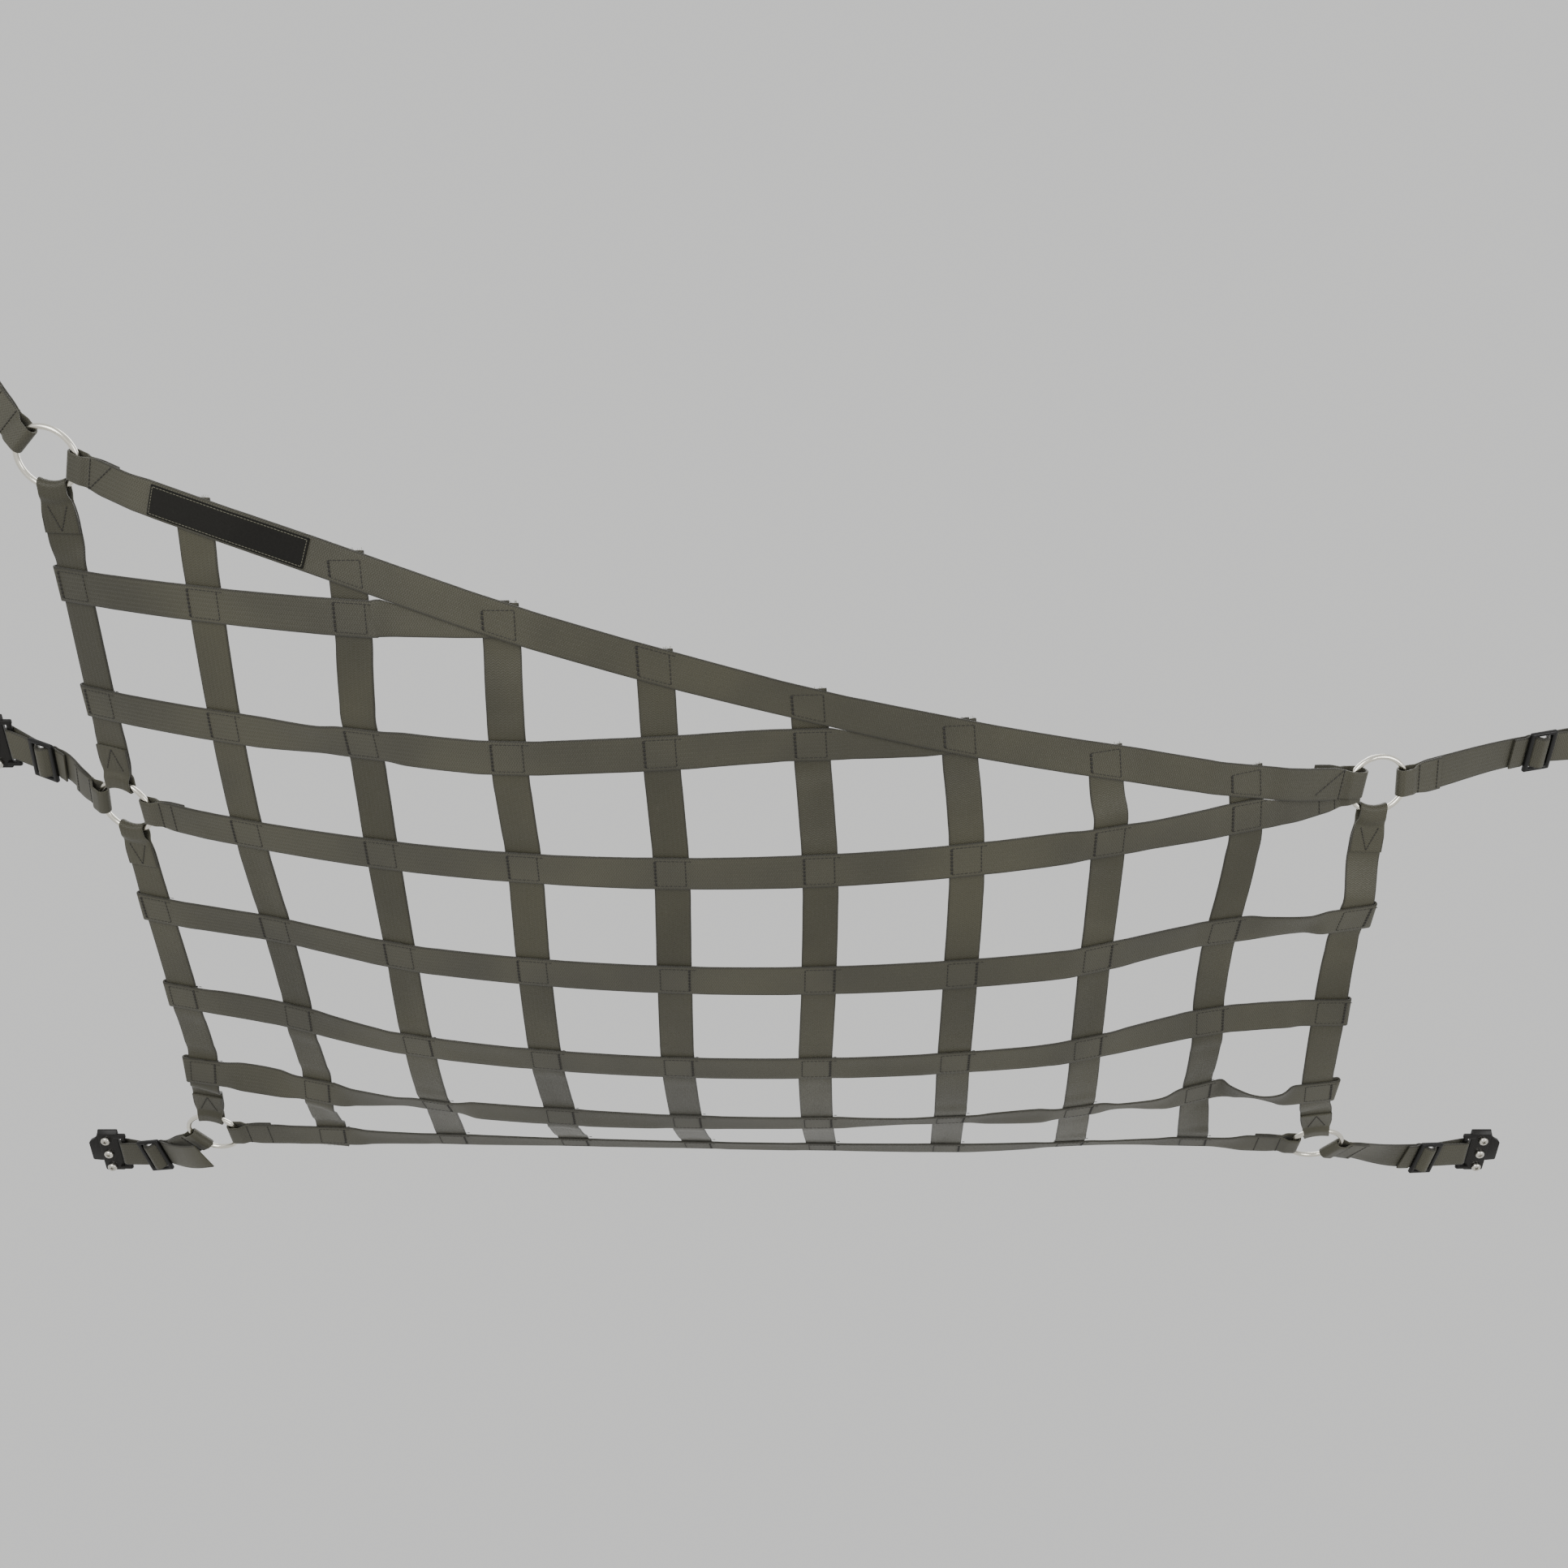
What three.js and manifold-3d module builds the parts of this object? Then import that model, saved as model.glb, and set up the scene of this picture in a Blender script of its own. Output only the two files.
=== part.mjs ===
import * as THREE from 'three';
import { mergeVertices } from 'three/addons/utils/BufferGeometryUtils.js';
import Module from 'manifold-3d';

const wasm = await Module();
wasm.setup();

// A storage net of webbing that hangs under a flat panel. Millimetres, +Z up.
// The panel's underside is z = 0. Its hinge is on the +Y side, +X is to the right seen from below and in front,
// and the origin lies midway between the two brackets on the hinge side.

const WEB_WIDTH = 25;
const WEB_THICK = 1.5;
const GAP = 0.3;
const LAYER = WEB_THICK + GAP;
const HALF_LAYER = LAYER / 2;
const HALF_WIDTH = WEB_WIDTH / 2;

const RING_WIRE = 4;
const RING_OUTER = 46;
const RING_MEAN = (RING_OUTER - RING_WIRE) / 2;

// A strap that is folded round a ring: distances from the ring's centre.
const FOLD = {
  nose: 18.1,        // centre of the round nose of the fold
  open: 25,          // up to here the two layers stand clear of the wire
  closed: 40,        // from here on they lie on each other
  end: 52,           // cut end of the turned-back layer
  flat: 56,          // length kept straight by the sewing
  halfWidth: 10,     // the webbing draws in a little where it bends round the wire
};
// At ring 3 the diagonal goes round the outside of the cross strap's fold: how far off, and its nose.
// The inner fold stands a little further off the wire, as it crosses the ring askew.
const OUTER_FOLD = { off: 2.5, nose: 15.4, innerLift: 0.45, dropAfter: 18, dropLength: 16 };
const WIRE_LIFT = RING_WIRE / 2 + GAP + WEB_THICK / 2 + 0.25 - HALF_LAYER;

const EASE = 18;           // length over which a strap leaves a flat, sewn place
const WRAP_LENGTH = 22;    // turned-back end of a cross strap at an outer length strap
const WRAP_FLAT = 18;
const END_POKE = 3;        // cut end of a strap past the edge of the strap that it is sewn to
const HEAD_END = 10.5;       // of an inner length strap, past the middle of the diagonal
const SPAN_STEPS = 5;      // sections between two sewn places
const COLUMN_PITCH = 90;   // length of a length strap between two cross straps
const LAST_LEVEL = 7;      // the diagonal starts at this level and climbs a third of a level per column

// Where a cross strap slips under the diagonal, after the last length strap that it crosses.
const TUCK = { rise: 30, full: 32, ease: 4, lift: LAYER + 0.2, end: 7 };
const TRIM_CLEAR = 0.7;    // between its cut-back edge and the diagonal

// Cross straps. Levels count from the hinge side, columns from the left. Each end is a point x, y, z.
// sag is how far the strap hangs under the straight line between its ends, and bow how far it lies
// to the hinge side of it, both at a third and at two thirds of its length.
const CROSS_STRAPS = [
  { key: 'G', level: 0, last: 9, left: [-490, -51, -28], right: [432, -61, -52], sag: [12, 13], bow: [-5, -4] },
  { key: 'F', level: 1, last: 9, left: [-480, -134, -46], right: [413, -144, -79], sag: [40, 36], bow: [2, 2] },
  { key: 'E', level: 2, last: 9, left: [-477, -222, -57], right: [407, -232, -92], sag: [58, 53], bow: [4, 4] },
  { key: 'D', level: 3, last: 9, left: [-479, -311, -60], right: [408, -324, -88], sag: [65, 61], bow: [3, 5] },
  { key: 'C', level: 4, last: 9, left: [-485, -403, -57], right: [416, -424, -60], sag: [73, 67], bow: [8, 12] },
  { key: 'B', level: 5, last: 6, left: [-484, -491, -59], right: [109, -492, -107], sag: [40, 36], bow: [-2, -1] },
  { key: 'A', level: 6, last: 3, left: [-484, -581, -56], right: [-190, -582, -112], sag: [12, 9], bow: [-2, 0] },
];
const DIAGONAL = { key: 'T', last: 9, left: [-486, -670, -48], right: [416, -424, -60], sag: [60, 51], bow: [6, 14] };
const TUCKED = ['A', 'B', 'C'];      // these end at the diagonal

// Folds and twists of the cross straps: column, reach in columns, lift in mm, turn in degrees
// (the far edge goes down) and slip along the strap in mm.
const FOLDS = [
  { key: 'D', at: 1.0, reach: 1.3, lift: 8, turn: 0, slip: 0 },
  { key: 'D', at: 6.0, reach: 3.0, lift: 0, turn: 0, slip: 5 },
  { key: 'D', at: 7.9, reach: 1.3, lift: 14, turn: -8, slip: 0 },
  { key: 'D', at: 8.7, reach: 0.7, lift: 0, turn: -28, slip: 0 },
  { key: 'E', at: 0.8, reach: 1.2, lift: 9, turn: 6, slip: 0 },
  { key: 'E', at: 6.8, reach: 3.0, lift: 0, turn: 0, slip: 7 },
  { key: 'E', at: 8.1, reach: 1.6, lift: 17, turn: 12, slip: 0 },
  { key: 'F', at: 0.5, reach: 0.9, lift: 4, turn: 30, slip: 0 },
  { key: 'F', at: 1.8, reach: 0.6, lift: 2, turn: -16, slip: 0 },
  { key: 'F', at: 3.0, reach: 1.8, lift: 0, turn: 9, slip: 0 },
  { key: 'F', at: 5.8, reach: 0.9, lift: 0, turn: -12, slip: 0 },
  { key: 'F', at: 6.8, reach: 3.0, lift: 0, turn: 0, slip: 7 },
  { key: 'F', at: 7.4, reach: 0.7, lift: 5, turn: -20, slip: 0 },
  { key: 'F', at: 8.15, reach: 0.6, lift: 14, turn: 0, slip: 0 },
  { key: 'F', at: 8.5, reach: 0.4, lift: -4, turn: -32, slip: 0 },
  { key: 'G', at: 0.9, reach: 0.6, lift: 0, turn: 10, slip: 0 },
  { key: 'G', at: 7.6, reach: 1.6, lift: 7, turn: -14, slip: 0 },
  { key: 'C', at: 7.2, reach: 0.7, lift: 0, turn: -14, slip: 0 },
  { key: 'B', at: 1.75, reach: 0.6, lift: 0, turn: -16, slip: 0 },
  { key: 'B', at: 2.9, reach: 1.1, lift: -7, turn: 0, slip: 0 },
  { key: 'B', at: 4.8, reach: 1.1, lift: 7, turn: 0, slip: 0 },
  { key: 'T', at: 1.8, reach: 1.6, lift: 5, turn: 0, slip: 0 },
  { key: 'T', at: 4.5, reach: 3.5, lift: 2, turn: 0, slip: -4 },
  { key: 'T', at: 8.0, reach: 1.0, lift: -5, turn: 0, slip: 0 },
];

// Rings, each at the end of a strap, with how far it leans to +X and +Y. Then the anchor that holds it:
// the centre of its buckle, the middle of its bracket's strap bar, and the free tail's length,
// how far it droops, how far it swings to the hinge side, and the slant of its cut end.
// A loose tail goes straight on from the buckle, and any other lies along the strap.
const BAR_X = 580;
const BAR_Z = -4.5;
const ANCHORS = [
  { ring: 1, strap: 'T', column: 0, lean: [0.15, 0.03], buckle: [-556.7, -734.2, -15.3],
    bar: [-BAR_X, -755, BAR_Z], tail: 14, droop: 1.5, loose: false, swing: 0, slant: 0 },
  { ring: 2, strap: 'C', column: 0, lean: [0.35, -0.05], buckle: [-557, -415, -15],
    bar: [-BAR_X, -424, BAR_Z], tail: 12, droop: 2, loose: false, swing: 0, slant: 0 },
  { ring: 3, strap: 'T', column: 9, lean: [-0.13, 0.2], buckle: [548.4, -423, -15],
    bar: [BAR_X, -424, BAR_Z], tail: 14, droop: 1.5, loose: false, swing: 0, slant: 0 },
  { ring: 4, strap: 'G', column: 0, lean: [0.11, -0.16], buckle: [-553, -6, -12],
    bar: [-BAR_X, -4, BAR_Z], tail: 51, droop: 15, loose: true, swing: -5, slant: 4 },
  { ring: 5, strap: 'G', column: 9, lean: [-0.02, -0.32], buckle: [545.5, -6, -15],
    bar: [BAR_X, -4, BAR_Z], tail: 14, droop: 1.5, loose: false, swing: 0, slant: 0 },
];

const BUCKLE = {
  outerBar: 1.75,     // radius
  centreBar: 1.5,
  pitch: 9.25,        // centre bar to outer bar
  railInner: 13.5,
  railOuter: 16.5,
  flat: 13,
  depth: 3.7,         // the strap passes this far behind the bars' plane
};
const TAIL = { angle: 22, clear: 1.3 };    // how the tail leaves the buckle, and how far off it is then
const BRACKET = {
  inner: 585,         // inner edge of the plate
  outer: 602,
  halfLength: 22.5,
  thick: 4.5,
  corner: 1.6,
  bevel: 3,
  wing: [[-1, -19.5], [0.6, -19.5], [1.2, -17], [3.6, -13.6], [7.6, -11], [9.5, -8.5], [9.5, 10.5], [8.5, 11.5], [-1, 12.5]],
  wingThick: 3,
  bar: 2,             // radius of the strap bar
  armInner: 16.5,
  armOuter: 19.5,
  armThick: 4,
  armOver: 2.5,
  screwX: 595.5,
  screwY: 2.5,
  screwPitch: 15.5,
};
const SCREW = { head: 4, headHeight: 2.8, shank: 2 };
const LABEL = { start: 76, end: 184, width: 21, thick: 1 };

const WEBBING = { color: 0x4b4a3e, roughness: 0.9, metalness: 0 };
const STEEL = { color: 0xd8d8d2, roughness: 0.15, metalness: 1 };
const BLACK = { color: 0x141414, roughness: 0.5, metalness: 0 };
const PATCH = { color: 0x2c2b27, roughness: 0.85, metalness: 0 };

const vec = (values) => new THREE.Vector3(...values);
const cross = (a, b) => new THREE.Vector3().crossVectors(a, b);
const smooth = THREE.MathUtils.smoothstep;
const clamp = THREE.MathUtils.clamp;
const inPlane = (v, normal) => v.clone().addScaledVector(normal, -v.dot(normal)).normalize();

// The plain hanging curve of a cross strap: four points make a cubic that passes through both thirds.
class HangingStrap {
  constructor(row) {
    Object.assign(this, row);
    const [left, right] = [vec(row.left), vec(row.right)];
    const third = (k) => left.clone().lerp(right, (k + 1) / 3).add(new THREE.Vector3(0, row.bow[k], -row.sag[k]));
    const [a, b] = [third(0), third(1)];
    const mix = (l, p, q, r) => new THREE.Vector3()
      .addScaledVector(left, l / 6).addScaledVector(a, p / 6)
      .addScaledVector(b, q / 6).addScaledVector(right, r / 6);
    this.curve = new THREE.CubicBezierCurve3(left, mix(-5, 18, -9, 2), mix(2, -9, 18, -5), right);
    this.curve.arcLengthDivisions = 400;
    this.pitch = this.curve.getLength() / row.last;
    this.folds = FOLDS.filter((fold) => fold.key === row.key);
  }

  fold(i, quantity) {
    const share = (fold) => 0.5 * (1 + Math.cos(Math.PI * Math.min(Math.abs(i - fold.at) / fold.reach, 1)));
    return this.folds.reduce((sum, fold) => sum + fold[quantity] * share(fold), 0);
  }

  point(i) {
    const place = clamp((i + this.fold(i, 'slip') / this.pitch) / this.last, 0, 1);
    const point = this.curve.getPointAt(place);
    point.z += this.fold(i, 'lift');
    return point;
  }

  along(i) {
    const step = 0.05;
    return this.point(Math.min(i + step, this.last)).sub(this.point(Math.max(i - step, 0))).normalize();
  }
}

// A strap's centre line with the direction of its upper face. Distances u run along it in millimetres.
// A patch is a place where the sewing keeps the strap flat and straight.
class StrapLine {
  constructor(base, patches) {
    this.base = base;
    this.patches = patches;
  }

  blended(u) {
    const { point, normal } = this.base(u);
    for (const patch of this.patches) {
      const away = u - patch.u;
      const ease = away > 0 && patch.easeAfter ? patch.easeAfter : patch.ease;
      const weight = 1 - smooth(Math.abs(away), patch.half, patch.half + ease);
      if (weight > 0) {
        point.lerp(patch.point.clone().addScaledVector(patch.along, away), weight);
        normal.lerp(patch.normal, weight);
      }
    }
    return { point, normal };
  }

  at(u) {
    const step = 0.5;
    const { point, normal } = this.blended(u);
    const along = this.blended(u + step).point.sub(this.blended(u - step).point).normalize();
    const face = inPlane(normal, along);
    return { point, along, normal: face, across: cross(face, along) };
  }
}

// Smooth spans from one flat place to the next.
function smoothBase(patches) {
  return (u) => {
    const place = clamp(u, patches[0].u, patches.at(-1).u);
    const k = clamp(patches.findLastIndex((patch) => patch.u <= place), 0, patches.length - 2);
    const [a, b] = [patches[k], patches[k + 1]];
    const [span, t] = [b.u - a.u, (place - a.u) / (b.u - a.u)];
    const point = a.point.clone().multiplyScalar(2 * t ** 3 - 3 * t ** 2 + 1)
      .addScaledVector(a.along, (t ** 3 - 2 * t ** 2 + t) * span)
      .addScaledVector(b.point, 3 * t ** 2 - 2 * t ** 3)
      .addScaledVector(b.along, (t ** 3 - t ** 2) * span);
    return { point, normal: a.normal.clone().lerp(b.normal, smooth(t, 0, 1)) };
  };
}

// A closed band of webbing. Each stop of the path has its distance u along the line, its height h over it,
// and the half widths on the near and the far side. A stop with a pin goes straight on from that place,
// and one with a slant lies that much further back along the line at its far edge. Both faces are split
// along the same diagonal, so that a twisted band keeps its thickness.
function ribbon(line, path, thick = WEB_THICK) {
  const corners = [];
  path.forEach((stop, k) => {
    const ways = [path[k - 1] && [path[k - 1], stop], path[k + 1] && [stop, path[k + 1]]].filter(Boolean);
    const way = ways.reduce(
      (sum, [from, to]) => sum.add(new THREE.Vector2(to.u - from.u, to.h - from.h).normalize()),
      new THREE.Vector2(),
    ).normalize();
    const { point, along, normal, across } = line.at(stop.pin ?? stop.u);
    const centre = point.clone().addScaledVector(normal, stop.h)
      .addScaledVector(along, stop.u - (stop.pin ?? stop.u)).addScaledVector(across, stop.aside ?? 0);
    const face = along.clone().multiplyScalar(-way.y).addScaledVector(normal, way.x).multiplyScalar(thick / 2);
    const slant = stop.slant ?? 0;
    const far = centre.clone().addScaledVector(across, stop.far ?? HALF_WIDTH).addScaledVector(along, -slant);
    const near = centre.clone().addScaledVector(across, -(stop.near ?? HALF_WIDTH)).addScaledVector(along, slant);
    corners.push(far.clone().add(face), far.clone().sub(face), near.clone().sub(face), near.clone().add(face));
  });
  const index = [];
  const upperSide = 3;
  for (let k = 0; k < path.length - 1; k++) {
    for (let side = 0; side < 4; side++) {
      const [a, b] = [4 * k + side, 4 * k + (side + 1) % 4];
      const [c, d] = [b + 4, a + 4];
      index.push(...(side === upperSide ? [a, b, d, b, c, d] : [a, b, c, a, c, d]));
    }
  }
  const end = 4 * (path.length - 1);
  index.push(0, 3, 2, 0, 2, 1, end, end + 1, end + 2, end, end + 2, end + 3);
  return closedGeometry(corners.flatMap((corner) => corner.toArray()), index);
}

// Faces are turned outwards when the volume that they enclose comes out negative.
function closedGeometry(positions, index) {
  const corner = (k) => new THREE.Vector3().fromArray(positions, 3 * index[k]);
  let volume = 0;
  for (let k = 0; k < index.length; k += 3) {
    volume += corner(k).dot(cross(corner(k + 1), corner(k + 2)));
  }
  const geometry = new THREE.BufferGeometry();
  geometry.setAttribute('position', new THREE.Float32BufferAttribute(positions, 3));
  geometry.setIndex(volume < 0 ? index.toReversed() : index);
  geometry.computeVertexNormals();
  return geometry;
}

// Crossings

const rows = Object.fromEntries([...CROSS_STRAPS, DIAGONAL].map((row) => [row.key, new HangingStrap(row)]));
const diagonal = rows.T;
const diagonalLevel = (column) => LAST_LEVEL - column / 3;

// The straps that a length strap meets, from the hinge side to the diagonal.
function meets(column) {
  const crossed = CROSS_STRAPS.filter(({ key, last }) => column < last || (column === last && !TUCKED.includes(key)));
  return [
    ...crossed.map(({ key, level }) => ({ key, column, level, point: rows[key].point(column) })),
    { key: 'T', column, level: diagonalLevel(column), point: diagonal.point(column) },
  ];
}

// Direction of a length strap at each crossing, from the places of the crossings beside it.
function withDirections(crossings) {
  const slope = (a, b) => b.point.clone().sub(a.point).divideScalar(b.level - a.level);
  return crossings.map((crossing, k) => {
    const [before, after] = [crossings[k - 1], crossings[k + 1]];
    const down = !before ? slope(crossing, after)
      : !after ? slope(before, crossing)
        : slope(before, crossing).multiplyScalar(after.level - crossing.level)
          .addScaledVector(slope(crossing, after), crossing.level - before.level);
    const row = rows[crossing.key];
    const normal = cross(down, row.along(crossing.column)).normalize();
    return { ...crossing, down, normal: normal.z < 0 ? normal.negate() : normal };
  });
}

const columns = Array.from({ length: DIAGONAL.last + 1 }, (_, column) => withDirections(meets(column)));
const crossingAt = (key, column) => {
  const shared = TUCKED.includes(key) && column === rows[key].last;
  return columns[column].find((crossing) => crossing.key === (shared ? 'T' : key));
};

// Upper face of a cross strap at any place, between the crossings on both sides, with its twist.
function rowNormal(row, i) {
  const place = clamp(i, 0, row.last);
  const k = Math.min(Math.floor(place), row.last - 1);
  const normal = crossingAt(row.key, k).normal.clone()
    .lerp(crossingAt(row.key, k + 1).normal, smooth(place, k, k + 1));
  const along = row.along(place);
  const turn = THREE.MathUtils.degToRad(row.fold(place, 'turn'));
  return inPlane(normal, along).applyAxisAngle(along, -turn);
}

// Half the length of the sewn place where two straps cross.
function sewnHalf(a, b) {
  const cosine = Math.abs(a.dot(b));
  return HALF_WIDTH * (1 + cosine) / Math.sqrt(1 - cosine ** 2) + 0.5;
}

function rowPatch(row, k) {
  const crossing = crossingAt(row.key, k);
  const beside = TUCKED.includes(row.key) && k === row.last - 1;
  const normal = beside ? crossingAt('T', k).normal : rowNormal(row, k);
  const along = inPlane(row.along(k), normal);
  const down = inPlane(crossing.down, normal);
  const half = sewnHalf(along, down);
  return { u: k * row.pitch, point: row.point(k), along, normal, down, half, ease: EASE };
}

// Rings, by the strap crossing that they stand in for.
const rings = ANCHORS.map(({ strap, column, lean }) => ({
  strap, column, centre: crossingAt(strap, column).point, normal: new THREE.Vector3(...lean, 1).normalize(),
}));
const ringAt = (key, k) => rings.find(({ strap, column }) => strap === key && column === k)
  ?? (key === 'C' && k === DIAGONAL.last ? rings.find(({ strap, column }) => strap === 'T' && column === k) : null);

// A strap hinges on the wire of its ring. From there it runs straight to a target, square to the wire.
// u is where along the strap the ring's centre is, and way is 1 where u grows away from the ring, or -1.
function hungPatch({ centre, normal }, target, u, way) {
  const out = inPlane(target.clone().sub(centre), normal);
  const hinge = centre.clone().addScaledVector(out, RING_MEAN);
  const wire = cross(normal, out);
  const away = inPlane(target.clone().sub(hinge), wire);
  const curve = RING_MEAN - Math.sqrt(RING_MEAN ** 2 - FOLD.halfWidth ** 2);
  return { u: u + way * RING_MEAN, point: hinge, along: away.clone().multiplyScalar(way), normal: cross(away, wire),
    down: wire, half: FOLD.flat - RING_MEAN, ease: EASE, lift: WIRE_LIFT + curve * Math.abs(away.dot(normal)) };
}

function rowPatches(row, lastOwn) {
  return Array.from({ length: lastOwn + 1 }, (_, k) => {
    const ring = ringAt(row.key, k);
    const way = k === 0 ? 1 : -1;
    if (ring) return hungPatch(ring, row.point(k + way * FOLD.flat / row.pitch), k * row.pitch, way);
    const patch = rowPatch(row, k);
    const wrapped = k === 0 || (k === DIAGONAL.last);
    return wrapped ? { ...patch, half: Math.max(patch.half, WRAP_FLAT) } : patch;
  });
}

const diagonalLine = (() => {
  const patches = rowPatches(diagonal, diagonal.last);
  const base = (u) => ({ point: diagonal.point(clamp(u / diagonal.pitch, 0, diagonal.last)),
    normal: rowNormal(diagonal, u / diagonal.pitch) });
  return new StrapLine(base, patches);
})();

// A cross strap that ends at the diagonal lies in the diagonal's own surface after its last crossing.
function besideDiagonal(row, crossing) {
  const k = row.last - 1;
  const start = diagonalLine.patches[k];
  const offset = crossing.point.clone().sub(start.point);
  const across = cross(start.normal, start.along);
  const foot = diagonal.pitch - offset.dot(start.along);
  return (u) => {
    const left = row.last - u / row.pitch;
    const frame = diagonalLine.at(diagonal.pitch * row.last - foot * left);
    const aside = offset.dot(across) * left;
    return { frame, aside, point: frame.point.clone().addScaledVector(frame.across, aside), normal: frame.normal };
  };
}

function crossStrapLine(row) {
  const tucked = TUCKED.includes(row.key);
  const patches = rowPatches(row, tucked ? row.last - 1 : row.last);
  const beside = tucked ? besideDiagonal(row, patches.at(-1)) : null;
  if (tucked) patches.at(-1).easeAfter = TUCK.ease;
  const base = (u) => (tucked && u > patches.at(-1).u ? beside(u) : {
    point: row.point(clamp(u / row.pitch, 0, row.last)), normal: rowNormal(row, u / row.pitch),
  });
  return Object.assign(new StrapLine(base, patches), { beside });
}

const rowLines = Object.fromEntries(CROSS_STRAPS.map(({ key }) => [key, crossStrapLine(rows[key])]));
rowLines.T = diagonalLine;

// A length strap passes from crossing to crossing in smooth spans. Its u is the level times the pitch.
function lengthStrapLine(column, fromLevel, toLevel) {
  const crossings = columns[column].filter(({ level }) => level >= fromLevel && level <= toLevel);
  const patches = crossings.map(({ key, level }, k) => {
    const ring = ringAt(key, column);
    const way = k ? -1 : 1;
    if (ring) return hungPatch(ring, crossings[k + way].point, level * COLUMN_PITCH, way);
    const { point, normal, down, half } = rowPatch(rows[key], column);
    return { u: level * COLUMN_PITCH, point, normal, along: down, half, ease: EASE };
  });
  return new StrapLine(smoothBase(patches), patches);
}

// Paths

// Stops along a strap from one place to another: both ends of every flat place, and steps between them.
function mainStops(line, from, to, height) {
  const edges = line.patches.map(({ u, half }) => [Math.max(u - half, from), Math.min(u + half, to)])
    .filter(([a, b]) => a < b)
    .reduce((merged, zone) => {
      const before = merged.at(-1);
      if (before && zone[0] < before[1] + 2) before[1] = Math.max(before[1], zone[1]);
      else merged.push([...zone]);
      return merged;
    }, []);
  const marks = new Set([from]);
  edges.forEach(([a, b], k) => {
    const start = k ? edges[k - 1][1] : from;
    for (let step = 1; step <= SPAN_STEPS && a > start; step++) marks.add(start + (a - start) * step / SPAN_STEPS);
    marks.add(b);
  });
  const last = edges.at(-1)[1];
  for (let step = 1; step <= SPAN_STEPS && to > last; step++) marks.add(last + (to - last) * step / SPAN_STEPS);
  return [...marks].map((u) => ({ u, h: height(u) }));
}

// From the net to the ring, round its wire and back, for the main layer at the given height.
function foldRoundRing({ lift }, main, toU, nosePlace = FOLD.nose) {
  const side = Math.sign(main);
  const lifted = Math.abs(main) + lift;
  const narrow = { near: FOLD.halfWidth, far: FOLD.halfWidth };
  const steps = 6;
  const nose = Array.from({ length: steps + 1 }, (_, k) => {
    const angle = Math.PI * k / steps;
    return { u: toU(nosePlace - lifted * Math.sin(angle)), h: side * lifted * Math.cos(angle), ...narrow };
  });
  return [
    { u: toU(FOLD.closed), h: main },
    { u: toU(FOLD.open), h: side * lifted, ...narrow },
    ...nose,
    { u: toU(FOLD.open), h: -side * lifted, ...narrow },
    { u: toU(FOLD.closed), h: -main },
    { u: toU(FOLD.end), h: -main },
  ];
}

// Round the outer edge of a length strap and back over it.
function wrapRoundStrap(edge, toU) {
  const steps = 4;
  const nose = Array.from({ length: steps + 1 }, (_, k) => {
    const angle = Math.PI * k / steps;
    return { u: toU(edge + LAYER * Math.sin(angle)), h: HALF_LAYER - LAYER * Math.cos(angle) };
  });
  return [...nose, { u: toU(edge - WRAP_LENGTH), h: HALF_LAYER + LAYER }];
}

function crossStrapPath(row, line) {
  const length = row.pitch * row.last;
  const tucked = Boolean(line.beside) && row.last < diagonal.last;
  const lastCrossing = line.patches.at(-1).u;
  const height = (u) => (tucked
    ? -HALF_LAYER + TUCK.lift * smooth(u, lastCrossing + HALF_WIDTH + 1, lastCrossing + TUCK.rise)
    : -HALF_LAYER);
  const fromLeft = (r) => r;
  const fromRight = (r) => length - r;
  const edge = (patch) => sewnHalf(patch.along, patch.down) - 0.2;
  const ringLeft = Boolean(ringAt(row.key, 0));
  const ringRight = Boolean(ringAt(row.key, DIAGONAL.last));
  const start = ringLeft ? FOLD.flat : edge(line.patches[0]) - WRAP_LENGTH;
  const left = ringLeft ? foldRoundRing(line.patches[0], -HALF_LAYER, fromLeft)
    : wrapRoundStrap(edge(line.patches[0]), (r) => -r);
  const held = line.beside
    ? { lift: diagonalLine.patches.at(-1).lift + OUTER_FOLD.innerLift } : line.patches.at(-1);
  const right = ringRight ? foldRoundRing(held, -HALF_LAYER, fromRight)
    : tucked ? [] : wrapRoundStrap(edge(line.patches.at(-1)), (r) => length + r);
  const end = ringRight ? length - FOLD.flat : tucked ? length + TUCK.end : length;
  const stops = mainStops(line, Math.min(start, FOLD.flat), end, height);
  const trimmed = line.beside ? trimAtDiagonal(line, stops, lastCrossing, height) : stops;
  return [...left.reverse(), ...trimmed, ...right];
}

// Until the cross strap and the diagonal lie on different levels, the near edge keeps clear of the diagonal.
function trimAtDiagonal(line, stops, crossing, height) {
  const inside = [HALF_WIDTH + 1, 20, 26, TUCK.full].map((past) => ({ u: crossing + past, h: height(crossing + past) }));
  const others = stops.filter(({ u }) => u < crossing + 10 || u > crossing + TUCK.full + 5);
  return [...others, { u: crossing, h: height(crossing) }, ...inside].sort((a, b) => a.u - b.u).map((stop) => {
    if (stop.u < crossing || stop.u > crossing + TUCK.full) return stop;
    const { frame, aside } = line.beside(stop.u);
    const slant = line.at(stop.u).across.dot(frame.across);
    return { ...stop, near: Math.min(HALF_WIDTH, (aside - HALF_WIDTH - TRIM_CLEAR) / slant) };
  });
}

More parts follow.
